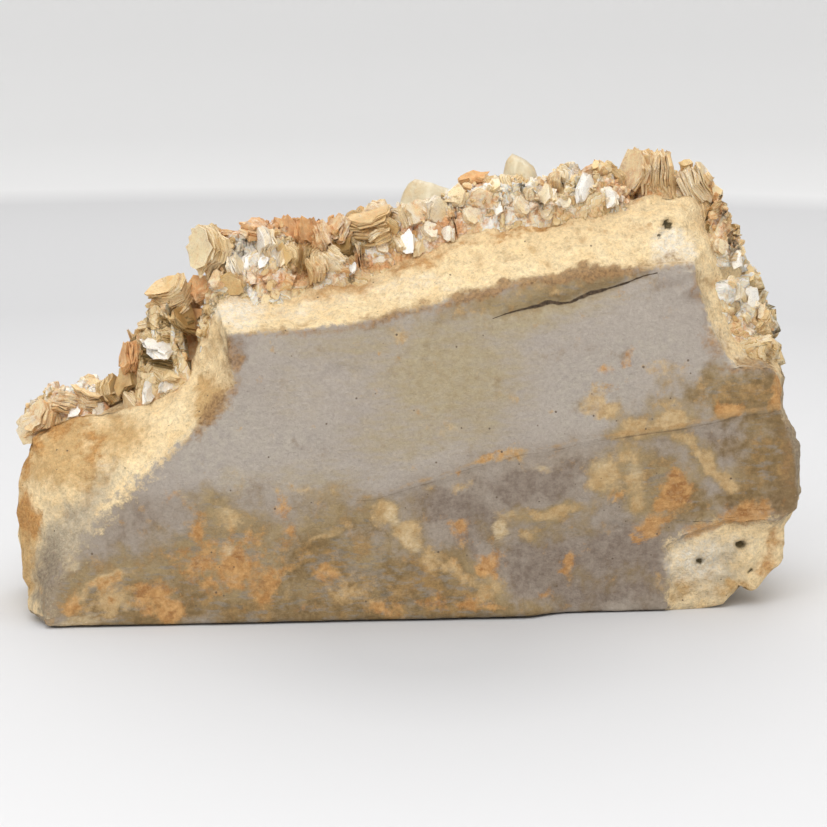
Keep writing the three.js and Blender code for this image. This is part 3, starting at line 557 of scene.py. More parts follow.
# How high the crust reaches: x, z.
SKYLINE = (
    (-99, 40), (-95, 52), (-90, 56.5), (-82, 58.5), (-76, 60), (-73, 64), (-70, 70), (-66, 73), (-62, 82),
    (-58, 88), (-56, 91), (-53, 97), (-48, 101), (-34, 101.3), (-18, 100), (-14, 102.4), (-6, 105.8),
    (1, 106), (13, 109), (22, 111), (30, 113), (38, 110), (47, 112.5), (52, 114), (58, 115), (62, 117),
    (65, 116), (68.5, 107), (71, 111), (75, 114), (79, 109), (83, 99), (87, 92), (95, 78),
)
# Where the crust is rusty, silvery or dark olive, seen from the front: as the rock's stains.
CRUST_STAINS = {
    "rust": [
        (-28, 99.5, 15, 3.4, 0, 1.2), (-50, 97, 3, 4, 40, 0.9), (-46, 101, 5, 3, 0, 1.0),
        (8, 99, 12, 2.2, 8, 1.0), (24, 103, 9, 2, 10, 0.8), (-44, 98, 3, 2.4, 0, 1.0),
        (-21, 96, 4, 4, 0, 0.7), (-53, 84, 3, 5, 0, 0.7), (-4, 103, 5, 2.6, 0, 0.75),
        (3, 102, 4, 3, 0, 0.8), (19, 110, 5, 2.4, 10, 1.0), (48, 114, 3.4, 3, 0, 1.0),
        (35, 106, 5, 2.4, 0, 0.5), (58, 107, 7, 3, 0, 0.85), (61, 118, 4, 3, 0, 0.45),
        (80, 104, 2.4, 5, 0, 0.6), (85, 93, 5, 3, -20, 0.7), (86, 74, 5, 4, 0, 0.6),
        (-72, 69, 2.4, 4, 0, 1.0), (-80, 51, 9, 1.6, 4, 1.0), (-89, 55, 3, 2.6, 0, 0.6),
        (-97, 44, 3, 4, 0, 0.6), (-78, 58, 5, 2, 0, 0.6), (-35, 85.5, 10, 2.2, 0, 0.8),
        (10, 95.5, 9, 2.4, 8, 0.9), (30, 101, 15, 2.4, 6, 0.4), (-8, 89, 12, 2.4, 6, 0.8),
        (-62, 52, 8, 1.8, 10, 0.9),
    ],
    # Silvery marks raise the tone to near white: partly muscovite's silver, partly painted highlight on
    # flats.
    "silver": [
        (-38, 92, 6, 5, 0, 1.0), (-31, 92, 2.4, 5, 0, 0.5), (38, 106, 22, 6, 6, 0.75),
        (14, 100, 12, 4, 8, 0.35), (-18, 88, 5, 2.4, 0, 0.7), (-6, 95, 3, 3, 0, 0.8),
        (5, 97, 6, 2.6, 0, 0.6), (8, 103, 6, 4, 0, 0.5), (33, 107, 9, 4, 0, 0.7),
        (45, 108, 3.4, 5, 0, 0.9), (54, 104, 6, 2, 0, 0.4), (-64, 72, 5, 2, 10, 0.8),
        (-64, 57, 4, 4, 0, 0.6), (-84, 54, 10, 5, 0, 0.85), (-92, 50, 4, 3, 0, 0.4),
        (0, 101, 10, 4, 8, 0.5), (70, 106, 3, 3, 0, 0.4), (85, 84, 8, 9, 0, 0.9), (-58, 83, 4, 4, 0, 0.4),
        (24, 112, 6, 3, 0, 0.5),
    ],
    "olive": [
        (-25, 91, 4, 5, 0, 0.8), (-16, 94, 3.4, 3, 0, 0.9), (-48, 92, 2, 5, 0, 0.4),
        (-8, 99, 6, 2.4, 10, 0.6), (-66, 66, 6, 4, 0, 0.9), (-70, 60, 3, 4, 0, 0.8),
        (-60, 77, 5, 2.4, 10, 0.6), (2, 92, 4, 2, 0, 0.4), (52, 110, 2, 5, 0, 0.4),
        (67, 105, 1.6, 5, 0, 0.8), (77, 98, 3, 7, 15, 0.8), (70, 101, 4, 2, 0, 0.5),
        (-93, 46, 4, 4, 0, 0.4), (20, 105, 3, 1.6, 0, 0.7), (82, 96, 3, 4, 0, 0.6),
    ],
}


def crust_looks(p):
    """Tone and rust of the crust at each point: as marked along the front, uneven further back."""
    near = ease((52 - p[:, 1]) / 12)
    slid = p[:, 0] + 1.6 * rough(p, 6, 3, 61), p[:, 2] + 1.4 * rough(p, 5, 3, 62)
    rust, silver, olive = (stain(*slid, CRUST_STAINS[key]) * near for key in ("rust", "silver", "olive"))
    uneven = rough(p, 22, 3, 63), rough(p, 17, 3, 64)
    # Silver lightens the tone: partly muscovite's own colour, partly painted highlight.
    tone = 0.5 + 0.4 * silver - 0.45 * olive + 0.35 * uneven[0]
    return np.clip(tone, 0, 1), np.clip(0.26 + 0.35 * uneven[1] + 0.8 * rust - 0.35 * silver, 0, 1)


SLOPE_BACK, SLOPE_UP = 0.91, 0.41  # the display slope faces this far back and up
SLOPE_OUT = Vector((0, SLOPE_BACK, SLOPE_UP)).normalized()
BED = 2.6  # the thickness of the fine mica that the books grow from
# Rows of books. A row stands behind the brow, at a depth, or at a height on the display slope, and
# `stand` is how far a book's middle stands out of it, by its radius.
ROWS = [
    dict(patch=BANK, span=(-52, 60), behind=3, pitch=6.2, radius=(3.4, 5.2), stand=0.25),
    dict(patch=BANK, span=(-51, 59), behind=10, pitch=8.4, radius=(4.6, 7), ridge=True),
    dict(patch=BANK, span=(-49, 58), behind=21, pitch=17, radius=(8, 11), ridge=True),
    dict(patch=BANK, span=(-48, 59), height=86, pitch=20, radius=(9, 12), stand=0.42),
    dict(patch=BANK, span=(-50, 59), height=70, pitch=20, radius=(9, 12.5), stand=0.38),
    dict(patch=BANK, span=(-48, 58), height=55, pitch=20, radius=(9, 12.5), stand=0.36),
    dict(patch=BANK, span=(-46, 52), height=41, pitch=19, radius=(7, 10), stand=0.35),
    dict(patch=SHELF, span=(-98, -76), depth=32, pitch=7.5, radius=(4.5, 6), stand=0.05),
    dict(patch=SHELF, span=(-95, -76), depth=43, pitch=9.5, radius=(5.5, 7), stand=0.1),
    dict(patch=SHELF, span=(-90, -76), depth=54, pitch=9, radius=(6, 8), stand=0.1),
    dict(patch=STEP, span=(-72, -55), depth=25, pitch=7, radius=(4.5, 6), stand=0.1),
    dict(patch=STEP, span=(-71, -55), depth=35, pitch=8, radius=(6, 7.5), stand=0.0),
    dict(patch=STEP, span=(-70, -55), depth=47, pitch=9, radius=(7, 9), stand=0.1),
    dict(patch=PEAK, span=(63, 83), depth=31, pitch=8, radius=(5.5, 7), stand=0.1),
    dict(patch=PEAK, span=(63, 82), depth=40, pitch=10, radius=(7, 8.5), stand=0.1),
    dict(patch=SHOULDER, span=(80, 92), height=78, pitch=7, radius=(5, 6.5), stand=0.3),
    dict(patch=SHOULDER, span=(80, 95), height=68, pitch=9, radius=(5.5, 7), stand=0.35),
]
# Books that stand out: patch, middle, the way the flat side faces, radius, thickness, tone from
# dark olive 0 to silver 1, and rust.
# Tones of 1 and above give near-white flats: partly muscovite's silver, partly painted highlight.
SINGLES = [
    (BANK, (-50, 24, 92.4), (-0.75, -0.65, 0.1), 8, 4.6, 0.5, 0.4),
    (BANK, (-43, 21, 88), (0.85, -0.35, 0.4), 4.6, 2.4, 0.75, 0.1),
    (BANK, (-51.5, 27, 81), (-0.5, -0.7, 0.5), 5.4, 4, 0.5, 0.9),
    (BANK, (-52, 28, 73), (-0.6, -0.75, 0.2), 5.4, 4, 0.45, 1.0),
    (BANK, (-53, 29, 66), (-0.5, -0.8, 0.4), 5, 4, 0.5, 0.9),
    (BANK, (-8, 25, 98), (-0.3, -0.15, 0.95), 8.4, 6, 0.35, 0.5),
    (BANK, (-16, 26, 96.5), (-0.9, -0.3, 0.4), 6, 3.2, 0.6, 0.7),
    (BANK, (19.5, 33, 107.8), (-0.15, -0.3, 1), 5.8, 3.4, 0.25, 0.85),
    (BANK, (45, 33, 107), (0.8, -0.5, 0.2), 6.4, 3, 1.0, 0.0),
    (BANK, (51, 35, 109), (-0.9, 0.1, 0.1), 6.6, 1.6, 0.3, 1.0),
    (STEP, (-59, 27, 79.5), (-0.45, -0.25, 0.86), 7.8, 6.5, 0.45, 0.5),
    (STEP, (-57.5, 24, 74), (0.7, -0.5, 0.5), 5.4, 4, 0.12, 0.2),
    (STEP, (-60.5, 26, 72.5), (0.15, -0.12, 0.98), 8, 5, 0.08, 0.1),
    (STEP, (-62, 21.5, 68.6), (0.25, -0.5, 0.83), 6.6, 1.5, 1.1, 0.0),
    (STEP, (-62, 25, 64.6), (0.1, -0.1, 0.98), 8, 4.6, 0.0, 0.1),
    (STEP, (-60.5, 21.5, 61), (0.2, -0.7, 0.68), 5.4, 2.6, 0.42, 0.3),
    (STEP, (-69.5, 26, 64), (-0.95, -0.2, 0.15), 6.4, 4, 0.4, 0.9),
    (STEP, (-55.5, 31, 69), (0.2, -0.95, 0.2), 6.4, 4, 0.45, 0.9),
    (STEP, (-56, 32, 76), (-0.2, -0.95, 0.2), 6, 4, 0.4, 0.8),
    (STEP, (-70.5, 27, 58.5), (-0.8, -0.4, 0.4), 5.6, 4, 0.2, 0.35),
    (SHELF, (-75.8, 31, 55), (0.85, -0.35, 0.35), 5.6, 4.4, 0.35, 0.3),
    (SHELF, (-87, 31, 51.5), (0.4, 0.3, 0.86), 5.6, 4.4, 0.55, 0.6),
    (SHELF, (-92.5, 30, 48), (-0.75, -0.5, 0.4), 6.6, 5, 0.5, 0.6),
    (SHELF, (-81, 31, 53.5), (0.2, -0.4, 0.9), 6.2, 4.6, 0.55, 0.55),
    (PEAK, (66, 30, 110.6), (0.95, -0.3, 0.15), 9.4, 6.6, 0.52, 0.5),
    (PEAK, (62.4, 31, 111), (-0.9, -0.4, 0.2), 8.8, 5.4, 0.5, 0.55),
    (PEAK, (69.5, 29, 105), (0.85, -0.45, 0.25), 6.4, 4.6, 0.5, 0.5),
    (PEAK, (76.5, 29, 107.4), (0.8, -0.35, 0.5), 8.4, 5.6, 0.62, 0.4),
    (PEAK, (79, 29.5, 100.5), (0.88, -0.4, 0.25), 8.2, 5.6, 0.3, 0.3),
]
# Smaller plates that stand out along the front: patch, where they show (x, z), facing, radius,
# height over width, thickness, tone and rust.
# Tones near 1 and above make near-white plates: partly muscovite's silver, partly painted highlight.
PLATES = [
    (BANK, (-39.8, 90.4), (0.25, -0.9, 0.3), 2.2, 1.8, 1.3, 1.0, 0.0),
    (BANK, (-36.4, 92.4), (0.1, -0.9, 0.4), 2.7, 1.9, 1.5, 1.05, 0.0),
    (BANK, (-31.4, 92.2), (0.5, -0.85, 0.15), 2.6, 2.1, 2.0, 0.75, 0.2),
    (BANK, (-27.6, 91), (0.95, -0.35, 0.1), 5.2, 1.2, 1.6, 0.35, 0.2),
    (BANK, (-25, 91.4), (0.97, -0.2, -0.1), 5.2, 1.2, 1.4, 0.15, 0.3),
    (BANK, (-22.8, 90.8), (0.93, -0.4, 0), 4.8, 1.3, 1.6, 0.5, 0.4),
    (BANK, (-20.3, 90.6), (0.9, -0.4, 0.15), 4.4, 1.2, 1.7, 0.65, 0.35),
    (BANK, (-16.2, 93.4), (-0.4, -0.5, 0.75), 3.8, 1.0, 3.2, 0.05, 0.2),
    (BANK, (-14.8, 88.8), (0.2, -0.8, 0.55), 2.3, 1.1, 1.2, 1.0, 0.0),
    (BANK, (-6.5, 94.6), (0.3, -0.85, 0.45), 2.9, 1.1, 1.4, 0.7, 0.3),
    (BANK, (-0.5, 95), (-0.35, -0.9, 0.25), 3.2, 1.2, 1.6, 1.0, 0.1),
    (BANK, (2.8, 94), (0.75, -0.6, 0.2), 2.6, 1.4, 1.5, 0.62, 0.4),
    (BANK, (5.6, 98.2), (0.15, -0.8, 0.55), 3.6, 1.0, 1.6, 0.7, 0.3),
    (BANK, (9.8, 97.2), (-0.5, -0.8, 0.35), 2.4, 1.2, 1.4, 0.75, 0.35),
    (BANK, (-44, 98.4), (-0.3, -0.5, 0.8), 3.6, 1.0, 3.2, 0.4, 1.0),
    (BANK, (-38, 98.6), (0.25, -0.35, 0.9), 4.4, 0.9, 3.6, 0.6, 0.85),
    (BANK, (-31, 98.4), (0.6, -0.6, 0.5), 4.4, 1.1, 3.0, 0.5, 0.95),
    (BANK, (-25.5, 98), (0.8, -0.5, 0.2), 4.4, 1.2, 2.6, 0.45, 1.0),
    (BANK, (-20.5, 96.5), (0.9, -0.35, 0.3), 4.6, 1.3, 2.8, 0.6, 0.7),
    (BANK, (15.5, 101.5), (0.4, -0.75, 0.5), 3.6, 0.9, 1.8, 0.68, 0.4),
    (BANK, (22.5, 103.2), (-0.4, -0.8, 0.4), 2.2, 1.1, 1.6, 0.85, 0.3),
    (BANK, (28.5, 104.4), (0.6, -0.7, 0.4), 3.4, 1.0, 1.9, 0.66, 0.4),
    (BANK, (34.5, 106.4), (-0.65, -0.7, 0.3), 3.6, 1.0, 1.9, 0.72, 0.3),
    (BANK, (38.6, 105), (0.5, -0.8, 0.3), 2.4, 1.2, 1.6, 0.78, 0.3),
    (BANK, (44.5, 108.5), (0.65, -0.7, 0.1), 3.2, 1.8, 1.6, 1.05, 0.0),
    (BANK, (50, 106.4), (-0.6, -0.75, 0.2), 2.8, 1.5, 2.0, 0.85, 0.2),
    (BANK, (55, 107.5), (0.7, -0.7, 0.1), 3.6, 1.6, 2.4, 0.55, 0.6),
    (STEP, (-64.5, 58.5), (0.75, -0.6, 0.3), 3.2, 1.7, 1.6, 1.0, 0.1),
    (STEP, (-60.5, 60.5), (0.6, -0.75, 0.1), 2.6, 1.7, 1.4, 0.95, 0.1),
    (STEP, (-70.5, 67), (-0.7, -0.6, 0.3), 3.0, 1.2, 2.2, 0.3, 1.0),
    (STEP, (-57.5, 82.5), (0.3, -0.6, 0.7), 4.2, 1.0, 3.2, 0.7, 0.4),
    (SHELF, (-84, 53.5), (-0.2, -0.7, 0.65), 2.6, 1.0, 1.8, 0.9, 0.2),
    (SHELF, (-91, 47), (-0.4, -0.7, 0.5), 2.0, 1.1, 1.5, 0.95, 0.2),
    (SHELF, (-77.5, 53.5), (0.4, -0.8, 0.4), 2.6, 1.2, 1.8, 0.85, 0.2),
    (PEAK, (79, 93.5), (0.6, -0.7, 0.3), 2.4, 1.2, 1.4, 0.6, 0.5),
    (PEAK, (82.5, 90.5), (-0.4, -0.8, 0.3), 2.8, 1.4, 1.4, 0.85, 0.3),
    (PEAK, (86, 87), (0.4, -0.85, 0.3), 3.2, 1.3, 1.4, 0.9, 0.1),
    (SHOULDER, (83, 82), (-0.5, -0.8, 0.3), 2.4, 1.5, 1.4, 0.75, 0.2),
    (SHOULDER, (87, 81), (0.3, -0.85, 0.3), 3.4, 1.3, 1.4, 0.85, 0.1),
    (SHOULDER, (89.5, 77), (0.3, -0.85, 0.2), 2.2, 1.5, 1.2, 0.6, 0.5),
]
# Prisms, each rooted straight below x, y or straight behind x, z.
AQUAMARINES = [
    dict(name="ridge_stout", x=8, y=40, heading=(0.12, 0.3, 1), radius=9.6, reach=16.5, turn=0.3),
    dict(name="ridge_small", x=31, y=40, heading=(0.1, 0.1, 1), radius=5.4, reach=16.5, turn=0.1),
    dict(name="display_main", x=-16, z=68, heading=(-0.22, 1, 0.5), radius=8.6, reach=33, turn=0.2),
    dict(name="display_leaning", x=3, z=60, heading=(0.5, 1, 0.25), radius=5.6, reach=25, turn=0.5),
    dict(name="display_upper", x=42, z=80, heading=(0.3, 0.8, 0.8), radius=6.6, reach=24, turn=0.8),
    dict(name="display_twin", x=54, z=68, heading=(0.45, 1, 0.35), radius=4.4, reach=19, turn=0.4),
    dict(name="display_low", x=-38, z=47, heading=(-0.35, 1, 0.1), radius=5.2, reach=21, turn=0.6),
    dict(name="shelf_small", x=-72, z=42, heading=(-0.4, 1, 0.5), radius=4.2, reach=17, turn=0.9),
]
SUNK = 3  # how deep a prism is rooted
OUTSIDE = 200  # rays that look for a surface start this far out
EYE, AIM = (-53.1, -611.7, 150.4), (2, 18, 50.3)  # where the specimen is looked at from, and where to


def landing(ground, start, way):
    return ground.ray_cast(Vector(start), Vector(way))[0]


def stand_prisms(ground):
    for prism in AQUAMARINES:
        if "y" in prism:
            prism["foot"] = landing(ground, (prism["x"], prism["y"], OUTSIDE), (0, 0, -1))
        else:
            prism["foot"] = landing(ground, (prism["x"], OUTSIDE, prism["z"]), (0, -1, 0))
        prism["way"] = Vector(prism["heading"]).normalized()


def crowds(middle, radius, share=0.45):
    """True where a book's middle would lie inside a prism or hide it."""
    for prism in AQUAMARINES:
        off = middle - prism["foot"]
        height = off.dot(prism["way"])
        if -2 * SUNK <= height <= prism["reach"]:
            if (off - height * prism["way"]).length < prism["radius"] + share * radius:
                return True
    return False


def books_in_rows(ground, beds):
    """The books of the solids, and the plates that stand out of the beds' front. Each has a middle,
    a facing, a radius, a thickness and a spin."""
    found = []
    for r, row in enumerate(ROWS):
        low, high = row["span"]
        count = math.floor((high - low) / row["pitch"] + 0.5)
        for i in range(count):
            k = r * 50 + i  # the book's own number, for its lots
            x = low + (i + between(k, 1, (0.25, 0.75))) * row["pitch"]
            radius, drift = between(k, 2, row["radius"]), between(k, 3, (-1.6, 1.6))
            slope = "height" in row
            y = row["depth"] + drift if "depth" in row else along(BROW, x) + row.get("behind", 0) + drift
            if slope:
                foot = landing(ground, (x, OUTSIDE, row["height"] + 2 * drift), (0, -1, 0))
            else:
                foot = landing(beds[row["patch"]], (x, y, OUTSIDE), (0, 0, -1))
            if foot is None:
                continue
            out = SLOPE_OUT if slope else Vector((0, 0, 1))
            middle = foot + out * (radius * row.get("stand", 0.5))
            if not slope:
                top = along(SKYLINE, x) - radius * between(k, 4, (1.0, 1.25))
                middle.z = max(middle.z, top) if row.get("ridge") and middle.z > top - 6 else middle.z
                middle.z = min(middle.z, top)
            turn, tip = 2 * math.pi * float(chance(k, 5)), between(k, 6, (-0.45, 0.75))
            across = Vector((math.cos(turn), math.sin(turn), 0))
            if slope:
                across = Vector((math.cos(turn), -SLOPE_UP * math.sin(turn), SLOPE_BACK * math.sin(turn)))
            found.append(dict(
                patch=row["patch"], middle=middle, faces=(across + out * tip).normalized(), radius=radius,
                thick=radius * between(k, 7, (0.34, 0.75)), spin=math.pi * float(chance(k, 8)),
                tone=between(k, 31, (0.1, 1.0)), rust=between(k, 32, (0.15, 0.85)), by_place=True,
            ))
    for i, (patch_name, middle, faces, radius, thick, tone, rust) in enumerate(SINGLES):
        found.append(dict(
            patch=patch_name, middle=Vector(middle), faces=Vector(faces).normalized(), radius=radius,
            thick=thick, spin=math.pi * float(chance(i, 9)), tone=tone, rust=rust,
        ))
    found = [b for b in found if not crowds(b["middle"], b["radius"])]
    marked = crust_looks(np.array([b["middle"][:] for b in found]))
    for book, tone, rust in zip(found, *marked):
        if book.pop("by_place", False):
            book["tone"], book["rust"] = 0.5 * (book["tone"] + tone), 0.5 * (book["rust"] + rust)
    for patch_name, (x, z), faces, radius, tall, thick, tone, rust in PLATES:
        hit = landing(beds[patch_name], EYE, Vector((x, 8, z)) - Vector(EYE))
        if hit is None:
            continue
        found.append(dict(
            patch=patch_name, middle=hit + Vector((0, 0.12 * radius, -0.05 * radius)), radius=radius,
            tall=tall, faces=Vector(faces).normalized(), thick=thick, spin=0, tone=tone, rust=rust,
        ))
    return found


# ---- Meshes, in drawn mm, put in the model's frame ----------------------------------------------
LOW, HIGH = (np.array(corner) for corner in CAD_BOX)
HAIR = 2e-5  # the visual model stays this far inside the model's box, in metres


def place(points):
    return (np.asarray(points) - CENTRE) * MM


def new_mesh(name, points, faces, attributes=None):
    """A mesh from points in drawn mm; attributes hold a number or a vector for each point."""
    mesh = bpy.data.meshes.new(name)
    mesh.from_pydata(place(points).tolist(), [], faces.tolist() if isinstance(faces, np.ndarray) else faces)
    for key, values in (attributes or {}).items():
        values = np.asarray(values)
        if values.dtype.kind == "i":
            mesh.attributes.new(key, "INT", "POINT").data.foreach_set("value", values.astype(np.int32))
        elif values.ndim == 2:
            mesh.attributes.new(key, "FLOAT_VECTOR", "POINT").data.foreach_set("vector", values.ravel())
        else:
            mesh.attributes.new(key, "FLOAT", "POINT").data.foreach_set("value", values.astype(np.float32))
    mesh.update()
    return mesh


def new_object(name, mesh):
    obj = bpy.data.objects.new(name, mesh)
    bpy.context.scene.collection.objects.link(obj)
    return obj


def keep_inside(mesh):
    """Presses the few points that reach past the model's box back onto it."""
    points = np.empty(len(mesh.vertices) * 3)
    mesh.vertices.foreach_get("co", points)
    points = np.clip(points.reshape(-1, 3), LOW + HAIR, HIGH - HAIR)
    mesh.vertices.foreach_set("co", points.ravel())
    mesh.update()


def colour(code):
    """An sRGB hex colour as the linear one that Blender's sockets hold."""
    parts = [int(code[i:i + 2], 16) / 255 for i in (1, 3, 5)]
    return (*(p / 12.92 if p <= 0.04045 else ((p + 0.055) / 1.055) ** 2.4 for p in parts), 1)


NOISE_SPAN = (0.38, 0.62)  # most of a noise texture's values lie between these
SHARP = 0.7  # radians: edges bent by more than this are shaded sharp
LAST_LOT = 3.99  # lots up to here, cut to whole numbers, pick one of four kinds
# The kinds of node that are used most.
MATH, VECTOR_MATH, MAP_RANGE = "ShaderNodeMath", "ShaderNodeVectorMath", "ShaderNodeMapRange"
NOISE, MIX, NAMED = "ShaderNodeTexNoise", "ShaderNodeMix", "GeometryNodeInputNamedAttribute"
SEPARATE, COMBINE = "ShaderNodeSeparateXYZ", "ShaderNodeCombineXYZ"


def feed(tree, node, inputs):
    """Links or sets a node's sockets."""
    for key, value in inputs.items():
        if isinstance(value, bpy.types.NodeSocket):
            tree.links.new(value, node.inputs[key])
        else:
            node.inputs[key].default_value = value


def add(tree, kind, inputs=None, out=0, **settings):
    """Adds a node with its settings, its sockets set or linked, and gives one of its outputs."""
    node = tree.nodes.new(kind)
    for key, value in settings.items():
        setattr(node, key, value)
    feed(tree, node, inputs or {})
    return node.outputs[out]


# ---- Geometry Nodes: a muscovite book, and a crust of books on a bed ----------------------------
def give(tree, geometry):
    """Links a tree's last geometry to its output."""
    feed(tree, tree.nodes.new("NodeGroupOutput"), {0: geometry})


def new_tree(name, inputs):
    """A tree that takes geometry and the named inputs, and gives geometry."""
    tree = bpy.data.node_groups.new(name, "GeometryNodeTree")
    for key, kind in (("Geometry", "Geometry"), *inputs):
        tree.interface.new_socket(key, in_out="INPUT", socket_type="NodeSocket" + kind)
    tree.interface.new_socket("Geometry", in_out="OUTPUT", socket_type="NodeSocketGeometry")
    return tree, tree.nodes.new("NodeGroupInput").outputs


def run_tree(tree, mesh, values):
    """The plain mesh that a tree makes from a mesh and its inputs' values."""
    obj = new_object("grown", mesh)
    modifier = obj.modifiers.new("grow", "NODES")
    modifier.node_group = tree
    for item in tree.interface.items_tree:
        if item.in_out == "INPUT" and item.name in values:
            modifier[item.identifier] = values[item.name]
    evaluated = obj.evaluated_get(bpy.context.evaluated_depsgraph_get())
    made = bpy.data.meshes.new_from_object(evaluated)
    obj.modifiers.remove(modifier)
    bpy.data.objects.remove(obj)
    return made


def sheet_mesh(corners, hubs, salt):
    """One mica sheet of unit radius and thickness: six uneven sides, closed, its rim marked. With
    hubs, each flat side is fanned out from its middle, so that it can bend."""
    angles = np.linspace(0, 2 * np.pi, corners, endpoint=False)
    sixth = np.mod(angles, np.pi / 3) - np.pi / 6
    radius = (0.52 / np.cos(sixth) + 0.38) * (1 + 0.28 * (chance(np.arange(corners), 40 + salt) - 0.5))
    rims = [np.stack([radius * np.cos(angles), radius * np.sin(angles), np.full(corners, high)], axis=1)
            for high in (0.5, -0.5)]
    points = np.concatenate(rims + ([np.array([[0, 0, 0.5], [0, 0, -0.5]])] if hubs else []))
    after = [(i + 1) % corners for i in range(corners)]
    faces = [(i, corners + i, corners + j, j) for i, j in enumerate(after)]
    if hubs:
        faces += [(2 * corners, i, j) for i, j in enumerate(after)]
        faces += [(2 * corners + 1, corners + j, corners + i) for i, j in enumerate(after)]
    else:
        faces += [tuple(range(corners)), tuple(reversed(range(corners, 2 * corners)))]
    mesh = bpy.data.meshes.new("mica_sheet")
    mesh.from_pydata(points.tolist(), [], faces)
    marks = np.zeros(len(faces), np.float32)
    marks[:corners] = 1
    mesh.attributes.new("edge", "FLOAT", "FACE").data.foreach_set("value", marks)
    return mesh


def book_tree():
    """Stacks a sheet into a book of unit radius and thickness, its sheets turned and slid a little."""
    tree, given = new_tree("mica_book", [
        ("Sheets", "Int"), ("Bend", "Float"), ("Fan", "Float"), ("Chips", "Float"), ("Seed", "Int")])
    step = add(tree, MATH, {0: 1.0, 1: given["Sheets"]}, operation="DIVIDE")
    stack = add(tree, "GeometryNodeMeshLine", {
        "Count": given["Sheets"], "Start Location": (0, 0, -0.45),
        "Offset": add(tree, COMBINE, {2: step})})
    drawn_by_lot = {}
    for salt, (key, low, high) in enumerate((
            ("tilt", (-1, -1, -1.2), (1, 1, 1.2)), ("size", (0.93, 0.93, 0.8), (1.02, 1.02, 1.25)),
            ("slide", (-0.05, -0.05, 0), (0.05, 0.05, 0)), ("sheet", (0, 0, 0), (1, 1, 1)))):
        seed = add(tree, MATH, {0: given["Seed"], 1: salt}, operation="ADD")
        drawn_by_lot[key] = add(tree, "FunctionNodeRandomValue", {0: low, 1: high, "Seed": seed},
                                data_type="FLOAT_VECTOR")
    tilt = add(tree, VECTOR_MATH, {0: drawn_by_lot["tilt"], "Scale": given["Fan"]}, operation="SCALE")
    size = add(tree, VECTOR_MATH, {
        0: drawn_by_lot["size"], 1: add(tree, COMBINE, {0: 1.0, 1: 1.0, 2: step})},
        operation="MULTIPLY")
    sheets = add(tree, "GeometryNodeInstanceOnPoints", {
        "Points": stack, "Instance": given["Geometry"],
        "Rotation": add(tree, "FunctionNodeEulerToRotation", {0: tilt}), "Scale": size})
    slid = add(tree, "GeometryNodeTranslateInstances", {
        "Instances": sheets, "Translation": drawn_by_lot["slide"]})
    told = add(tree, "GeometryNodeStoreNamedAttribute", {
        "Geometry": slid, "Name": "sheet", "Value": add(tree, SEPARATE, {0: drawn_by_lot["sheet"]})},
        data_type="FLOAT", domain="INSTANCE")
    loose = add(tree, "GeometryNodeRealizeInstances", {0: told})
    high = add(tree, SEPARATE, {0: add(tree, "GeometryNodeInputPosition")}).node.outputs["Z"]
    loose = add(tree, "GeometryNodeStoreNamedAttribute", {
        "Geometry": loose, "Name": "stack", "Value": add(
            tree, MATH, {0: high, 1: given["Sheets"]}, operation="MULTIPLY")},
        data_type="FLOAT", domain="POINT")
    # Chipped rims, a bend, and sheets that spring open towards the rim.
    spot = add(tree, "GeometryNodeInputPosition")
    flat = add(tree, VECTOR_MATH, {0: spot, 1: (1, 1, 0)}, operation="MULTIPLY")
    reach = add(tree, VECTOR_MATH, {0: flat, 1: flat}, out="Value", operation="DOT_PRODUCT")
    drift = add(tree, VECTOR_MATH, {0: spot, 1: (2.1, 2.1, 1.3)}, operation="MULTIPLY")
    grain = add(tree, VECTOR_MATH, {0: drift, 1: given["Seed"]}, operation="ADD")
    chip = add(tree, NOISE, {"Vector": grain, "Scale": 1.0, "Detail": 3.0, "Roughness": 0.65})
    amount = add(tree, MATH, {0: reach, 1: given["Chips"]}, operation="MULTIPLY")
    pull = add(tree, MAP_RANGE, {0: chip, 1: 0.3, 2: 0.7, 3: 0.0, 4: -1.0}, clamp=False)
    worn = add(tree, MATH, {0: pull, 1: amount}, operation="MULTIPLY")
    parts = add(tree, SEPARATE, {0: spot})
    across = add(tree, MATH, {0: parts, 1: parts}, operation="MULTIPLY")
    bend = add(tree, MATH, {0: across, 1: given["Bend"]}, operation="MULTIPLY")
    spring = add(tree, MATH, {0: reach, 1: parts.node.outputs["Z"]}, operation="MULTIPLY")
    lift = add(tree, MATH, {0: spring, 1: 0.2, 2: bend}, operation="MULTIPLY_ADD")
    chipped = add(tree, VECTOR_MATH, {0: flat, "Scale": worn}, operation="SCALE")
    shift = add(tree, VECTOR_MATH, {
        0: chipped, 1: add(tree, COMBINE, {2: lift})}, operation="ADD")
    made = add(tree, "GeometryNodeSetPosition", {"Geometry": loose, "Offset": shift})
    give(tree, made)
    return tree


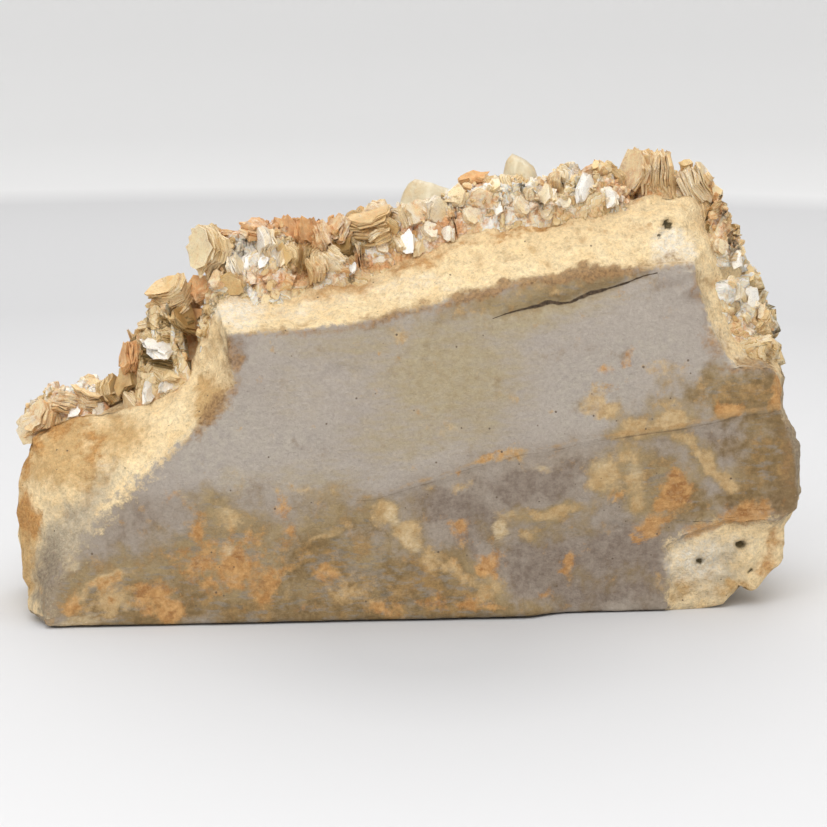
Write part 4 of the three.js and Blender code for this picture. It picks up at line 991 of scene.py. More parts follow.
def grown_together(tree, mm):
    """The pattern of many small books grown together: each spot's book by lot, how far up through
    the book's sheets the spot lies, in mm, and how far it is from the next book."""
    drift = add(tree, NOISE, {"Vector": mm, "Scale": 0.28, "Detail": 3.0, "Roughness": 0.6}, out="Color")
    aside = add(tree, VECTOR_MATH, {0: drift, 1: (0.5, 0.5, 0.5)}, operation="SUBTRACT")
    slid = add(tree, VECTOR_MATH, {0: aside, "Scale": 4.5}, operation="SCALE")
    spot = add(tree, VECTOR_MATH, {0: mm, 1: slid}, operation="ADD")
    lots = add(tree, "ShaderNodeTexVoronoi", {"Vector": spot, "Scale": 0.24}, out="Color")
    apart = add(tree, "ShaderNodeTexVoronoi", {"Vector": spot, "Scale": 0.24}, feature="DISTANCE_TO_EDGE")
    centred = add(tree, VECTOR_MATH, {0: lots, 1: (0.5, 0.5, 0.5)}, operation="SUBTRACT")
    facing = add(tree, VECTOR_MATH, {0: centred}, operation="NORMALIZE")
    within = add(tree, VECTOR_MATH, {0: spot, 1: lots.node.outputs["Position"]}, operation="SUBTRACT")
    up = add(tree, VECTOR_MATH, {0: within, 1: facing}, out="Value", operation="DOT_PRODUCT")
    return lots, up, apart


def bed_tree():
    """Breaks a bed up into the tilted, stepped blocks of small books grown together."""
    tree, given = new_tree("mica_bed", [("Relief", "Float"), ("Step", "Float")])
    seat = add(tree, NAMED, {"Name": "seat"}, data_type="FLOAT_VECTOR")
    cover = add(tree, NAMED, {"Name": "cover"}, data_type="FLOAT")
    lots, up, apart = grown_together(tree, seat)
    own = add(tree, SEPARATE, {0: lots})
    level = add(tree, MATH, {0: own, 1: 2.6, 2: -1.3}, operation="MULTIPLY_ADD")
    stepped = add(tree, MATH, {0: up, 1: given["Step"]}, operation="SNAP")
    tilted = add(tree, MATH, {0: stepped, 1: 0.55, 2: level}, operation="MULTIPLY_ADD")
    gap = add(tree, MAP_RANGE, {0: apart, 1: 0.0, 2: 0.12, 3: -0.9, 4: 0.1})
    height = add(tree, MATH, {0: tilted, 1: gap}, operation="ADD")
    amount = add(tree, MATH, {0: cover, 1: given["Relief"]}, operation="MULTIPLY")
    lift = add(tree, MATH, {0: height, 1: amount}, operation="MULTIPLY")
    along_normal = add(tree, VECTOR_MATH, {0: add(tree, "GeometryNodeInputNormal"), "Scale": lift},
                       operation="SCALE")
    made = add(tree, "GeometryNodeSetPosition", {"Geometry": given["Geometry"], "Offset": along_normal})
    give(tree, made)
    return tree


def crust_tree():
    """Small books and scales scattered over a bed of fine mica, and books on another object's points."""
    tree, given = new_tree("mica_crust", [
        ("Books", "Object"), *((key, "Collection") for key in ("Kinds", "Small kinds", "Scales")),
        *((key, "Float") for key in (
            "Small books per area", "Small book radius", "Scales per area", "Scale radius")),
        ("Seed", "Int"), ("Crumple", "Float"), ("Mica", "Material")])
    crusted = add(tree, NAMED, {"Name": "crust"}, data_type="FLOAT")
    kinds, small, scales = (add(tree, "GeometryNodeCollectionInfo", {
        "Collection": given[key], "Separate Children": True, "Reset Children": True})
        for key in ("Kinds", "Small kinds", "Scales"))
    books = add(tree, "GeometryNodeObjectInfo", {"Object": given["Books"]}, out="Geometry")
    grown = [(books, kinds)]
    for salt, density, size, what in (
            (20, "Small books per area", "Small book radius", small),
            (40, "Scales per area", "Scale radius", scales)):
        seed = add(tree, MATH, {0: given["Seed"], 1: salt}, operation="ADD")
        spots = add(tree, "GeometryNodeDistributePointsOnFaces", {
            "Mesh": given["Geometry"], "Seed": seed,
            "Density": add(tree, MATH, {0: given[density], 1: crusted}, operation="MULTIPLY")})
        lots = {}
        for step, (key, low, high) in enumerate((
                ("spin", (0, 0, -3.1), (0, 0, 3.1)), ("tilt", (-1.5, -1.5, -3.1), (1.5, 1.5, 3.1)),
                ("shape", (0.75, 0.5, 0.3), (1.1, 1.0, 0.75)), ("scale", (0.5, 0, 0), (1.35, 1, 1)),
                ("looks", (0, 0, 0), (0.42, 0.5, LAST_LOT)))):
            own = add(tree, MATH, {0: seed, 1: step}, operation="ADD")
            lots[key] = add(tree, "FunctionNodeRandomValue", {0: low, 1: high, "Seed": own},
                            data_type="FLOAT_VECTOR")
        upright = add(tree, "FunctionNodeAlignRotationToVector", {
            "Vector": spots.node.outputs["Normal"],
            "Rotation": add(tree, "FunctionNodeEulerToRotation", {0: lots["spin"]})}, axis="Z")
        turn = add(tree, "FunctionNodeRotateRotation", {
            "Rotation": upright, "Rotate By": add(tree, "FunctionNodeEulerToRotation", {0: lots["tilt"]})},
            rotation_space="LOCAL")
        radius = add(tree, MATH, {
            0: given[size], 1: add(tree, SEPARATE, {0: lots["scale"]})}, operation="MULTIPLY")
        extent = add(tree, VECTOR_MATH, {0: lots["shape"], "Scale": radius}, operation="SCALE")
        looks = add(tree, SEPARATE, {0: lots["looks"]}).node.outputs
        local = {key: add(tree, MATH, {
            0: add(tree, NAMED, {"Name": key}, data_type="FLOAT"), 1: 0.6, 2: own},
            operation="MULTIPLY_ADD") for key, own in (("tone", looks[0]), ("rust", looks[1]))}
        points = spots
        for key, kind, value in (("turn", "QUATERNION", turn), ("size", "FLOAT_VECTOR", extent),
                                 ("tone", "FLOAT", local["tone"]), ("rust", "FLOAT", local["rust"]),
                                 ("kind", "INT", looks[2])):
            points = add(tree, "GeometryNodeStoreNamedAttribute", {
                "Geometry": points, "Name": key, "Value": value}, data_type=kind, domain="POINT")
        grown.append((points, what))
    joined = tree.nodes.new("GeometryNodeJoinGeometry")
    for where, what in grown:
        put = add(tree, "GeometryNodeInstanceOnPoints", {
            "Points": where, "Instance": what, "Pick Instance": True,
            "Instance Index": add(tree, NAMED, {"Name": "kind"}, data_type="INT"),
            "Rotation": add(tree, NAMED, {"Name": "turn"}, data_type="QUATERNION"),
            "Scale": add(tree, NAMED, {"Name": "size"}, data_type="FLOAT_VECTOR")})
        tree.links.new(add(tree, "GeometryNodeRealizeInstances", {0: put}), joined.inputs[0])
    # Sheets are crumpled a little, and shaded smooth up to their sharp rims.
    crumple = add(tree, NOISE, {
        "Vector": add(tree, VECTOR_MATH, {0: add(tree, "GeometryNodeInputPosition"), "Scale": 1 / MM},
                      operation="SCALE"), "Scale": 0.22, "Detail": 3.0}, out="Color")
    way = add(tree, VECTOR_MATH, {0: crumple, 1: (0.5, 0.5, 0.5)}, operation="SUBTRACT")
    shifted = add(tree, "GeometryNodeSetPosition", {
        "Geometry": joined.outputs[0],
        "Offset": add(tree, VECTOR_MATH, {0: way, "Scale": given["Crumple"]}, operation="SCALE")})
    smooth = add(tree, "GeometryNodeSetShadeSmooth", {"Geometry": shifted, "Shade Smooth": True},
                 domain="FACE")
    sharp = add(tree, MATH, {0: add(tree, "GeometryNodeInputMeshEdgeAngle"), 1: SHARP},
                operation="GREATER_THAN")
    rimmed = add(tree, "GeometryNodeSetShadeSmooth", {
        "Geometry": smooth, "Selection": sharp, "Shade Smooth": False}, domain="EDGE")
    mica = add(tree, "GeometryNodeSetMaterial", {"Geometry": rimmed, "Material": given["Mica"]})
    give(tree, mica)
    return tree


# ---- Materials ---------------------------------------------------------------------------------
def new_material(name, marks=()):
    """A material with nodes: its tree, its shader, object coordinates in mm, and the mesh's marks."""
    material = bpy.data.materials.new(name)
    material.use_nodes = True
    tree = material.node_tree
    shader = tree.nodes["Principled BSDF"]
    where = add(tree, "ShaderNodeTexCoord", out="Object")
    mm = add(tree, VECTOR_MATH, {0: where, "Scale": 1 / MM}, operation="SCALE")
    given = {key: add(tree, "ShaderNodeAttribute", out="Fac", attribute_name=key) for key in marks}
    return material, tree, shader, mm, given


def grains(tree, mm, sizes):
    """Noise textures by name, each with the size of its grain in mm, its detail and roughness."""
    return {key: add(tree, NOISE, {
        "Vector": mm, "Scale": 1 / size, "Detail": detail, "Roughness": roughness})
        for key, (size, detail, roughness) in sizes.items()}


def coats(tree, under, grain, rows):
    """Paints stains over a colour, one over another. A row: the stain's amount, the grain that breaks it
    up and how much, the span of its threshold, a light and a dark tint, the grain that mixes them, and
    the most it covers."""
    for amount, breaks_up, ragged, (low, high), light, dark, blend, most in rows:
        uneven = add(tree, MATH, {
            0: grain[breaks_up], 1: ragged, 2: -0.5 * ragged}, operation="MULTIPLY_ADD")
        level = add(tree, MATH, {0: amount, 1: uneven}, operation="ADD")
        mask = add(tree, MAP_RANGE, {0: level, 1: low, 2: high, 4: most}, interpolation_type="SMOOTHSTEP")
        either = add(tree, MAP_RANGE, {0: grain[blend], 1: NOISE_SPAN[0], 2: NOISE_SPAN[1]})
        tint = add(tree, MIX, {
            "Factor": either, 6: colour(light), 7: colour(dark)}, out=2, data_type="RGBA")
        under = add(tree, MIX, {"Factor": mask, 6: under, 7: tint}, out=2, data_type="RGBA")
    return under


def grade(ramp, stops):
    """Sets a colour ramp's stops, each a position and a colour."""
    ends = ramp.elements
    for stop, (position, code) in ((ends[0], stops[0]), (ends[1], stops[-1])):
        stop.position, stop.color = position, colour(code)
    for position, code in stops[1:-1]:
        ramp.elements.new(position).color = colour(code)


def wall_rock():
    """Fine-grained grey wall rock. The joint face is smooth, matte and iron-stained; fresh breaks
    are cream and granular, rusty near the crust."""
    material, tree, shader, mm, given = new_material("grey wall rock, split along an iron-stained joint", (
        *STAINS, "beyond", "fray", "crease", "low_and_right", "crack", "gape", "hidden", "hollow", "pit"))
    grain = grains(tree, mm, {
        "cloud": (24, 5, 0.6), "blotch": (8, 5, 0.62), "patch": (4.6, 6, 0.67), "mottle": (2, 5, 0.67),
        "grit": (0.9, 3, 0.65), "fine": (0.4, 2, 0.6)})
    # Streaks a few mm long that climb to the right, along the rock's faint layering.
    along_layers = add(tree, "ShaderNodeMapping", {"Vector": mm, "Rotation": (0, math.radians(25), 0),
                                                   "Scale": (0.5, 1, 1.5)})
    grain["streak"] = add(tree, NOISE, {
        "Vector": along_layers, "Scale": 0.45, "Detail": 5.0, "Roughness": 0.6})
    # The bare face is grey, bluish, purplish and olive by turns.
    face = add(tree, MIX, {"Factor": grain["cloud"], 6: colour("#9f948a"), 7: colour("#b1a79b")},
               out=2, data_type="RGBA")
    face = coats(tree, face, grain, (
        (given["warm"], "streak", 1.1, (0.1, 1.0), "#b1a283", "#9f8e6d", "mottle", 0.9),
        (given["cool"], "streak", 1.1, (0.2, 0.9), "#b6ac9e", "#9d948b", "mottle", 0.85),
        # Darker below the crease and towards the right.
        (given["low_and_right"], "blotch", 1.2, (0.3, 1.3), "#9c8e7d", "#867868", "mottle", 0.95),
        # Over the face this coat also paints shade along the foot and at the lower left corner.
        (given["shade"], "blotch", 1.5, (0.25, 0.9), "#938577", "#78695d", "mottle", 0.85)))
    # Iron: a wash of olive ochre, then cream-ochre, orange and rust-brown patches, paler flecks in
    # the orange, and patches of its own lower down.
    own = add(tree, MATH, {0: grain["blotch"], 1: 1.6, 2: -0.82}, operation="MULTIPLY_ADD")
    wild = add(tree, MATH, {0: own, 1: given["low_and_right"]}, operation="MULTIPLY")
    washed = add(tree, MATH, {0: given["ochre"], 1: 0.35, 2: given["wash"]}, operation="MULTIPLY_ADD")
    ochre = add(tree, MATH, {0: wild, 1: 0.7, 2: given["ochre"]}, operation="MULTIPLY_ADD")
    orange = add(tree, MATH, {0: wild, 1: 0.8, 2: given["rust"]}, operation="MULTIPLY_ADD")
    face = coats(tree, face, grain, (
        (washed, "blotch", 1.8, (0.15, 0.8), "#a08a62", "#826e4c", "patch", 0.85),
        (given["umber"], "blotch", 2.0, (0.15, 0.9), "#8d734c", "#6d5737", "mottle", 0.85),
        (given["wash"], "patch", 4.2, (0.6, 1.35), "#b5915d", "#98774c", "mottle", 0.62),
        (given["wash"], "streak", 4.0, (0.75, 1.4), "#958b7e", "#7e7566", "mottle", 0.7),
        (ochre, "patch", 2.8, (0.3, 1.05), "#cfb285", "#ae8f62", "mottle", 0.85),
        (orange, "patch", 3.0, (0.35, 1.1), "#cfa168", "#a67643", "mottle", 0.86),
        (orange, "streak", 2.0, (1.05, 1.5), "#9a6839", "#80552e", "mottle", 0.8),
        (orange, "mottle", 4.0, (1.3, 1.8), "#d8b688", "#cba470", "grit", 0.35)))
    # Fresh breaks, granular: cream, gold and white, greyer low down, with painted shade in their hollows.
    breaks = add(tree, MIX, {"Factor": grain["patch"], 6: colour("#e6be81"), 7: colour("#fff0ca")},
                 out=2, data_type="RGBA")
    breaks = coats(tree, breaks, grain, (
        (given["cool"], "patch", 1.1, (0.2, 0.9), "#c4b7a0", "#9b8d79", "grit", 0.85),
        # On the breaks it paints shade at the lower left corner.
        (given["shade"], "patch", 1.3, (0.2, 1.0), "#a3947d", "#78695a", "grit", 0.88),
        (given["ochre"], "patch", 1.7, (0.35, 0.85), "#dcb67c", "#b88f58", "grit", 0.85),
        (given["rust"], "patch", 1.8, (0.4, 0.9), "#d6a15f", "#ab763e", "grit", 0.85),
        (given["hollow"], "mottle", 1.2, (0.35, 0.95), "#b48d5c", "#8a6840", "grit", 0.6),
        (given["hidden"], "patch", 1.5, (0.4, 1.1), "#c4ae8a", "#a38b69", "grit", 0.82),
        (given["hidden"], "blotch", 2.2, (0.9, 1.5), "#aba091", "#8d8273", "grit", 0.6)))
    loose = add(tree, MATH, {0: grain["mottle"], 1: 4.2, 2: -2.15}, operation="MULTIPLY_ADD")
    frayed = add(tree, MATH, {0: loose, 1: given["fray"]}, operation="MULTIPLY")
    past = add(tree, MATH, {0: given["beyond"], 1: frayed}, operation="ADD")
    soft = add(tree, MATH, {0: given["fray"], 1: 0.8}, operation="MULTIPLY")
    broken = add(tree, MAP_RANGE, {
        0: add(tree, MATH, {0: past, 1: soft}, operation="DIVIDE"), 1: -0.8, 2: 0.8},
        interpolation_type="SMOOTHSTEP")
    shade = add(tree, MIX, {"Factor": broken, 6: face, 7: breaks}, out=2, data_type="RGBA")
    shade = coats(tree, shade, grain, (
        (given["pale"], "streak", 1.0, (0.3, 0.95), "#dcc7a2", "#bda47c", "grit", 0.8),
        (given["bright"], "streak", 0.9, (0.2, 0.95), "#fdf5e4", "#efdcba", "grit", 0.9)))
    # Mottling all over, from dark and light mineral grains, stronger on the breaks.
    mottled = add(tree, MATH, {0: grain["mottle"], 1: grain["grit"]}, operation="ADD")
    peppered = add(tree, MATH, {0: grain["fine"], 1: 0.5, 2: mottled}, operation="MULTIPLY_ADD")
    strong = add(tree, MAP_RANGE, {0: broken, 3: 0.42, 4: 0.8})
    centred = add(tree, MATH, {0: peppered, 1: 1.25}, operation="SUBTRACT")
    speckle = add(tree, MATH, {0: centred, 1: strong, 2: 1.0}, operation="MULTIPLY_ADD")
    shade = add(tree, VECTOR_MATH, {0: shade, "Scale": speckle}, operation="SCALE")
    # Brown grains and painted shade along the broken edge; the crease's tan band; painted shadow under its
    # ledge, in the crack and in the pits; specks.
    line = add(tree, MATH, {0: given["crease"]}, operation="ABSOLUTE")
    # Painted shadow: a dark brown line under the ledge that overhangs the crease.
    crease_shadow = add(tree, MAP_RANGE, {0: line, 1: 0.05, 2: 0.7, 3: 0.8, 4: 0.0})
    band = add(tree, MATH, {0: given["crease"], 1: 1.1}, operation="SUBTRACT")
    tan = add(tree, MAP_RANGE, {
        0: add(tree, MATH, {0: band}, operation="ABSOLUTE"), 1: 0.2, 2: 1.5, 3: 0.7, 4: 0.0})
    # Painted shadow: the crack's groove, under the thin layer above it, is coloured dark brown.
    aside = add(tree, MATH, {0: given["crack"]}, operation="ABSOLUTE")
    opened = add(tree, MATH, {0: aside, 1: given["gape"]}, operation="DIVIDE")
    crack = add(tree, MAP_RANGE, {0: opened, 1: 0.1, 2: 1.0, 3: 1.0, 4: 0.0})
    dots = add(tree, "ShaderNodeTexVoronoi", {"Vector": mm, "Scale": 0.24, "Randomness": 1.0})
    dot = add(tree, MAP_RANGE, {0: dots, 1: 0.04, 2: 0.13, 3: 1.0, 4: 0.0})
    shade = coats(tree, shade, grain, (
        (given["edge_stain_and_shade"], "mottle", 1.5, (0.35, 1.0), "#ab855a", "#7f6244", "grit", 0.85),
        (tan, "blotch", 2.2, (0.45, 1.0), "#c09c6c", "#a07d50", "grit", 0.7),
        (crease_shadow, "blotch", 1.4, (0.5, 1.1), "#75614a", "#5e4c3a", "grit", 0.7),
        (crack, "mottle", 0.8, (0.45, 0.85), "#5c4b3a", "#3b3026", "grit", 1.0),
        (given["pit"], "mottle", 1.0, (0.45, 0.95), "#6a5b3a", "#35301f", "grit", 0.95),
        (dot, "patch", 1.8, (0.65, 1.0), "#6b5a48", "#54463a", "grit", 0.85)))
    # Relief that is too fine for the mesh: grains of 0.3 to 2 mm, coarser on the breaks.
    coarse = add(tree, MATH, {0: grain["mottle"], 1: 1.1, 2: grain["grit"]}, operation="MULTIPLY_ADD")
    relief = add(tree, MATH, {0: grain["fine"], 1: 0.35, 2: coarse}, operation="MULTIPLY_ADD")
    depth = add(tree, MAP_RANGE, {0: broken, 3: 0.3, 4: 0.85})
    level = add(tree, MATH, {0: relief, 1: 1.22}, operation="SUBTRACT")
    high = add(tree, MATH, {0: level, 1: depth}, operation="MULTIPLY")
    bump = add(tree, "ShaderNodeBump", {"Height": high, "Distance": MM, "Strength": 1.0})
    feed(tree, shader, {"Base Color": shade, "Normal": bump, "Roughness": 0.85, "Specular IOR Level": 0.25})
    return material


# Muscovite's colour from dark olive at 0 through gold to silver at 1, and the light that its sheets
# let through.
# Near 1 it is almost white, which stands partly for painted highlight on bright flats.
MICA_TONES = ((0.05, "#786439"), (0.22, "#b68f58"), (0.42, "#e6c48b"), (0.7, "#f7e0b4"), (1.0, "#fffaf0"))
PEARLY = {"Subsurface Weight": 0.25, "Subsurface Radius": (1, 0.75, 0.5), "Subsurface Scale": 1.5 * MM}


def tones_of_mica(tree, level):
    tones = add(tree, "ShaderNodeValToRGB", {0: level})
    grade(tones.node.color_ramp, MICA_TONES)
    return tones


def muscovite():
    """Muscovite books: pearly silver to golden sheets with a soft metallic flash, finely striped
    on their edges, stepped on their flats, and coated with rust where iron has settled."""
    material, tree, shader, mm, given = new_material("muscovite books, pearly and rust-coated", (
        "tone", "rust", "edge", "sheet", "stack"))
    grain = grains(tree, mm, {"blotch": (5, 4, 0.6), "mottle": (1.3, 4, 0.65), "fine": (0.35, 2, 0.6)})
    level = add(tree, MATH, {0: given["sheet"], 1: 0.2, 2: given["tone"]}, operation="MULTIPLY_ADD")
    varied = add(tree, MATH, {0: grain["blotch"], 1: 0.6, 2: level}, operation="MULTIPLY_ADD")
    plain = add(tree, MATH, {0: varied, 1: 0.3}, operation="SUBTRACT")
    flat = tones_of_mica(tree, plain)
    # On the edge each sheet is itself a pack of thinner ones, gold and dark by turns.
    wavy = add(tree, MATH, {0: grain["mottle"], 1: 0.5, 2: given["stack"]}, operation="MULTIPLY_ADD")
    packed = add(tree, NOISE, {"W": wavy, "Scale": 3.4, "Detail": 2.0}, noise_dimensions="1D")
    line = add(tree, MAP_RANGE, {0: packed, 1: 0.36, 2: 0.62, 3: -0.34, 4: 0.16})
    edge_on = tones_of_mica(tree, add(tree, MATH, {0: plain, 1: line}, operation="ADD"))
    rim = add(tree, MATH, {0: given["edge"], 1: 0.9}, operation="MULTIPLY")
    shade = add(tree, MIX, {"Factor": rim, 6: flat, 7: edge_on}, out=2, data_type="RGBA")
    shade = coats(tree, shade, grain, (
        (given["rust"], "mottle", 1.5, (0.34, 1.05), "#ecac6e", "#c07d42", "blotch", 0.85),
        (grain["blotch"], "fine", 0.8, (0.6, 0.85), "#a98a55", "#7a6239", "mottle", 0.6)))
    # A dark line follows each step of the flats.
    lip = add(tree, MATH, {0: grain["blotch"], 1: 0.06}, operation="MODULO")
    stepped = add(tree, MAP_RANGE, {0: lip, 1: 0.0, 2: 0.014, 3: 0.34, 4: 0.0})
    shade = add(tree, MIX, {"Factor": stepped, 6: shade, 7: colour("#8a6c3f")}, out=2, data_type="RGBA")
    bare = add(tree, MAP_RANGE, {0: given["rust"], 1: 0.2, 2: 0.8, 3: 1.0, 4: 0.0})
    metal = add(tree, MATH, {0: bare, 1: 0.25}, operation="MULTIPLY")
    dull = add(tree, MAP_RANGE, {0: bare, 3: 0.8, 4: 0.36})
    # Steps on the flats, where sheets have flaked off.
    flaked = add(tree, MATH, {0: grain["blotch"], 1: 0.06}, operation="SNAP")
    terraced = add(tree, MATH, {0: flaked, 1: 4.0, 2: grain["mottle"]}, operation="MULTIPLY_ADD")
    ridged = add(tree, MATH, {0: packed, 1: given["edge"]}, operation="MULTIPLY")
    relief = add(tree, MATH, {0: ridged, 1: 1.6, 2: terraced}, operation="MULTIPLY_ADD")
    bump = add(tree, "ShaderNodeBump", {"Height": relief, "Distance": MM, "Strength": 0.35})
    feed(tree, shader, {
        "Base Color": shade, "Metallic": metal, "Roughness": dull, "Normal": bump, "IOR": 1.58, **PEARLY})
    return material


def mica_bed():
    """The mass the books stand out of: small muscovite books grown together every way, seen on
    their flats and edges, rusty and clotted with fine quartz in places."""
    material, tree, shader, mm, given = new_material(
        "muscovite, small books grown together, rust-stained", ("tone", "rust"))
    seat = add(tree, "ShaderNodeAttribute", out="Vector", attribute_name="seat")
    lots, up, apart = grown_together(tree, seat)
    own = add(tree, SEPARATE, {0: lots}).node.outputs
    grain = grains(tree, mm, {
        "cloud": (12, 3, 0.6), "blotch": (5, 4, 0.62), "mottle": (1.7, 4, 0.65), "grit": (0.6, 3, 0.6)})
    level = add(tree, MATH, {0: own[1], 1: 0.55, 2: given["tone"]}, operation="MULTIPLY_ADD")
    uneven = add(tree, MATH, {0: grain["mottle"], 1: 0.5, 2: level}, operation="MULTIPLY_ADD")
    wavy = add(tree, MATH, {0: grain["mottle"], 1: 0.9, 2: up}, operation="MULTIPLY_ADD")
    packed = add(tree, NOISE, {"W": wavy, "Scale": 1.9, "Detail": 3.0}, noise_dimensions="1D")
    line = add(tree, MAP_RANGE, {0: packed, 1: 0.34, 2: 0.64, 3: -0.62, 4: -0.16})
    shade = tones_of_mica(tree, add(tree, MATH, {0: uneven, 1: line}, operation="ADD"))
    # Painted shade: the gaps between the small books are coloured dark olive-brown.
    gap_shade = add(tree, MAP_RANGE, {0: apart, 1: 0.0, 2: 0.1, 3: 0.85, 4: 0.0})
    shade = coats(tree, shade, grain, (
        (grain["cloud"], "mottle", 1.4, (0.42, 0.85), "#f8e6c0", "#e6c48e", "grit", 0.7),
        (given["rust"], "mottle", 1.7, (0.26, 0.9), "#efb074", "#c68146", "grit", 0.88),
        (gap_shade, "blotch", 1.6, (0.55, 1.1), "#7d6640", "#5c4a2e", "grit", 0.75)))
    glint = add(tree, MAP_RANGE, {0: own[2], 1: 0.6, 2: 0.9, 3: 0.75, 4: 0.4})
    layers = add(tree, MATH, {0: packed, 1: 1.8, 2: grain["mottle"]}, operation="MULTIPLY_ADD")
    relief = add(tree, MATH, {0: grain["grit"], 1: 0.6, 2: layers}, operation="MULTIPLY_ADD")
    bump = add(tree, "ShaderNodeBump", {"Height": relief, "Distance": MM, "Strength": 0.75})
    feed(tree, shader, {"Base Color": shade, "Roughness": glint, "Normal": bump, **PEARLY})
    return material


def beryl(name, roughness, tint, density, etched, body, clear, film):
    """Aquamarine: glassy blue-green beryl with fine grooves along its prism faces. Where it is worn
    it is less clear, and a cream to ochre iron film lies on it."""
    material, tree, shader, mm, _ = new_material(name)
    grooves = add(tree, "ShaderNodeAttribute", out="Vector", attribute_name="prism")
    lines = add(tree, NOISE, {"Vector": grooves, "Scale": 1.0, "Detail": 3.0})
    grain = grains(tree, mm, {"etch": (1.6, 3, 0.6), "cloud": (7, 4, 0.6)})
    relief = add(tree, MIX, {"Factor": etched, 2: lines, 3: grain["etch"]}, data_type="FLOAT")
    bump = add(tree, "ShaderNodeBump", {"Height": relief, "Distance": MM, "Strength": 0.3 + 0.4 * film})
    feed(tree, shader, {"Normal": bump, "Base Color": colour(body), "Roughness": roughness, "IOR": 1.575,
                        "Transmission Weight": clear})
    if film:
        feed(tree, shader, {"Base Color": coats(tree, colour(body), grain, (
            (grain["cloud"], "etch", 0.6, (0.3, 0.8), "#f6e6c2", "#ecd09c", "cloud", film),))})
    absorb = add(tree, "ShaderNodeVolumeAbsorption", {"Color": colour(tint), "Density": density})
    feed(tree, tree.nodes["Material Output"], {"Volume": absorb})
    return material


# ---- The specimen's pieces ------------------------------------------------------------------------
# Cells of the rock's mesh: along it, up it, across its breaks, and from there to the display side.
ACROSS, UPWARD, BREAK_COUNT, RIM_COUNT = 230, 112, 22, 32


def smooth_shaded(mesh):
    mesh.polygons.foreach_set("use_smooth", np.ones(len(mesh.polygons), bool))


def bed_over(patch, points, normals, quads):
    """A closed shell of fine mica over a patch of the rock, thick and thin by turns."""
    reach = np.full(len(points), 1e9)
    for axis in range(3):
        above = points[:, axis] - patch["low"][axis]
        if axis == 1:
            above = above + patch.get("forward", 0) * ease((points[:, 0] - FORWARD_FROM) / 4)
        reach = np.minimum(reach, np.minimum(above, patch["high"][axis] - points[:, axis]))
    # Towards the display side the crust's border is ragged.
    far = ease((points[:, 1] - CRUST_BACK) / 14)
    value = reach + 3 * lattice(points, 16, 21) - 4 - far * (7.5 + 24 * rough(points, 24, 5, 26, 0.65))
    room = np.minimum(points[:, 0] - patch["x"][0], patch["x"][1] - points[:, 0])
    room = np.minimum(room, np.minimum(points[:, 2] - patch["z"][0], patch["z"][1] - points[:, 2]))
    here = ease(value / 2.5 + 0.5) * (room > -0.4)
    kept = quads[(here[quads] > 0.01).any(axis=1) & (room[quads] > -1.2).all(axis=1)]
    used, index = np.unique(kept, return_inverse=True)
    index = index.reshape(kept.shape)
    p, n, cover = points[used], normals[used], here[used, None]
    clearing = np.ones(len(p))
    for prism in AQUAMARINES:
        off = p - np.array(prism["foot"][:])
        aside = off - np.outer(off @ np.array(prism["way"][:]), prism["way"][:])
        clearing *= ease((np.linalg.norm(aside, axis=1) - prism["radius"] - 0.5) / 3.5)
    heap = np.clip(0.8 * (along(SKYLINE, p[:, 0]) - p[:, 2]) - 2, 0, patch["heap"])
    heap = heap * ease((reach[used] - patch["clear"]) / 5) * ease((n[:, 2] - 0.2) / 0.4)
    heap = heap * (0.85 + 0.3 * lattice(p, 13, 25)) * (0.5 + 0.5 * clearing) * (1 - far[used])
    thick = BED * (1 + 0.35 * lattice(p, 11, 22))
    thick = thick + 1.1 * rough(p, 6, 3, 23) + 0.6 * rough(p, 2.2, 2, 24)
    lift = n * thick[:, None] + np.outer(heap, (0, 0, 1))
    outer = p + lift * cover - n * 1.2 * (1 - cover)
    inner = p - n * 1.8
    edges = np.concatenate([index[:, [i, (i + 1) % 4]] for i in range(4)])
    forward = {tuple(e) for e in edges.tolist()}
    count = len(used)
    walls = [(b, a, a + count, b + count) for a, b in forward if (b, a) not in forward]
    faces = index.tolist() + (index[:, ::-1] + count).tolist() + walls
    # Books crowd the top and thin out down the slope, and keep clear of the prisms.
    dense = np.clip((cover[:, 0] - 0.5) * 2, 0, 1) * (0.45 + 0.55 * ease(n[:, 2] / 0.8)) * clearing
    tone, rust = crust_looks(outer)
    nothing = np.zeros(count)
    attributes = {"crust": (dense, nothing), "cover": (cover[:, 0], nothing), "tone": (tone, tone),
                  "rust": (rust, rust), "seat": (outer, inner)}
    shell = np.concatenate([outer, inner])
    return shell, faces, {key: np.concatenate(pair) for key, pair in attributes.items()}


def build_rock():
    """The wall rock as one closed piece, and its surface for what grows on it."""
    base, zones, quads = slab(ACROSS, UPWARD, BREAK_COUNT, RIM_COUNT)
    points, stains = roughen(base, zones, quads)
    rock = new_object("wall_rock_surface", new_mesh("wall_rock_surface", points, quads, stains))
    rock.data.materials.append(wall_rock())
    smooth_shaded(rock.data)
    keep_inside(rock.data)
    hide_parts("wall_rock")
    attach(rock, "root")
    return points, quads


def facing_of(faces, spin):
    """The turn that lays a book's flat side towards `faces`, spun about it."""
    return Vector((0, 0, 1)).rotation_difference(Vector(faces)) @ Quaternion((0, 0, 1), spin)


def book_points(books):
    """A mesh of loose points, one for each book, that tells the crust tree how it stands."""
    turns = np.array([list(facing_of(b["faces"], b["spin"])) for b in books], float).reshape(-1, 4)
    sizes = np.array([(b["radius"], b["radius"] * b.get("tall", 1), b["thick"]) for b in books])
    mesh = new_mesh("books", np.array([b["middle"][:] for b in books]).reshape(-1, 3), [], {
        "tone": np.array([b["tone"] for b in books]), "rust": np.array([b["rust"] for b in books]),
        "kind": np.array([b["kind"] for b in books], int), "size": sizes.reshape(-1, 3) * MM})
    mesh.attributes.new("turn", "QUATERNION", "POINT").data.foreach_set("value", turns.ravel())
    return new_object("books", mesh)


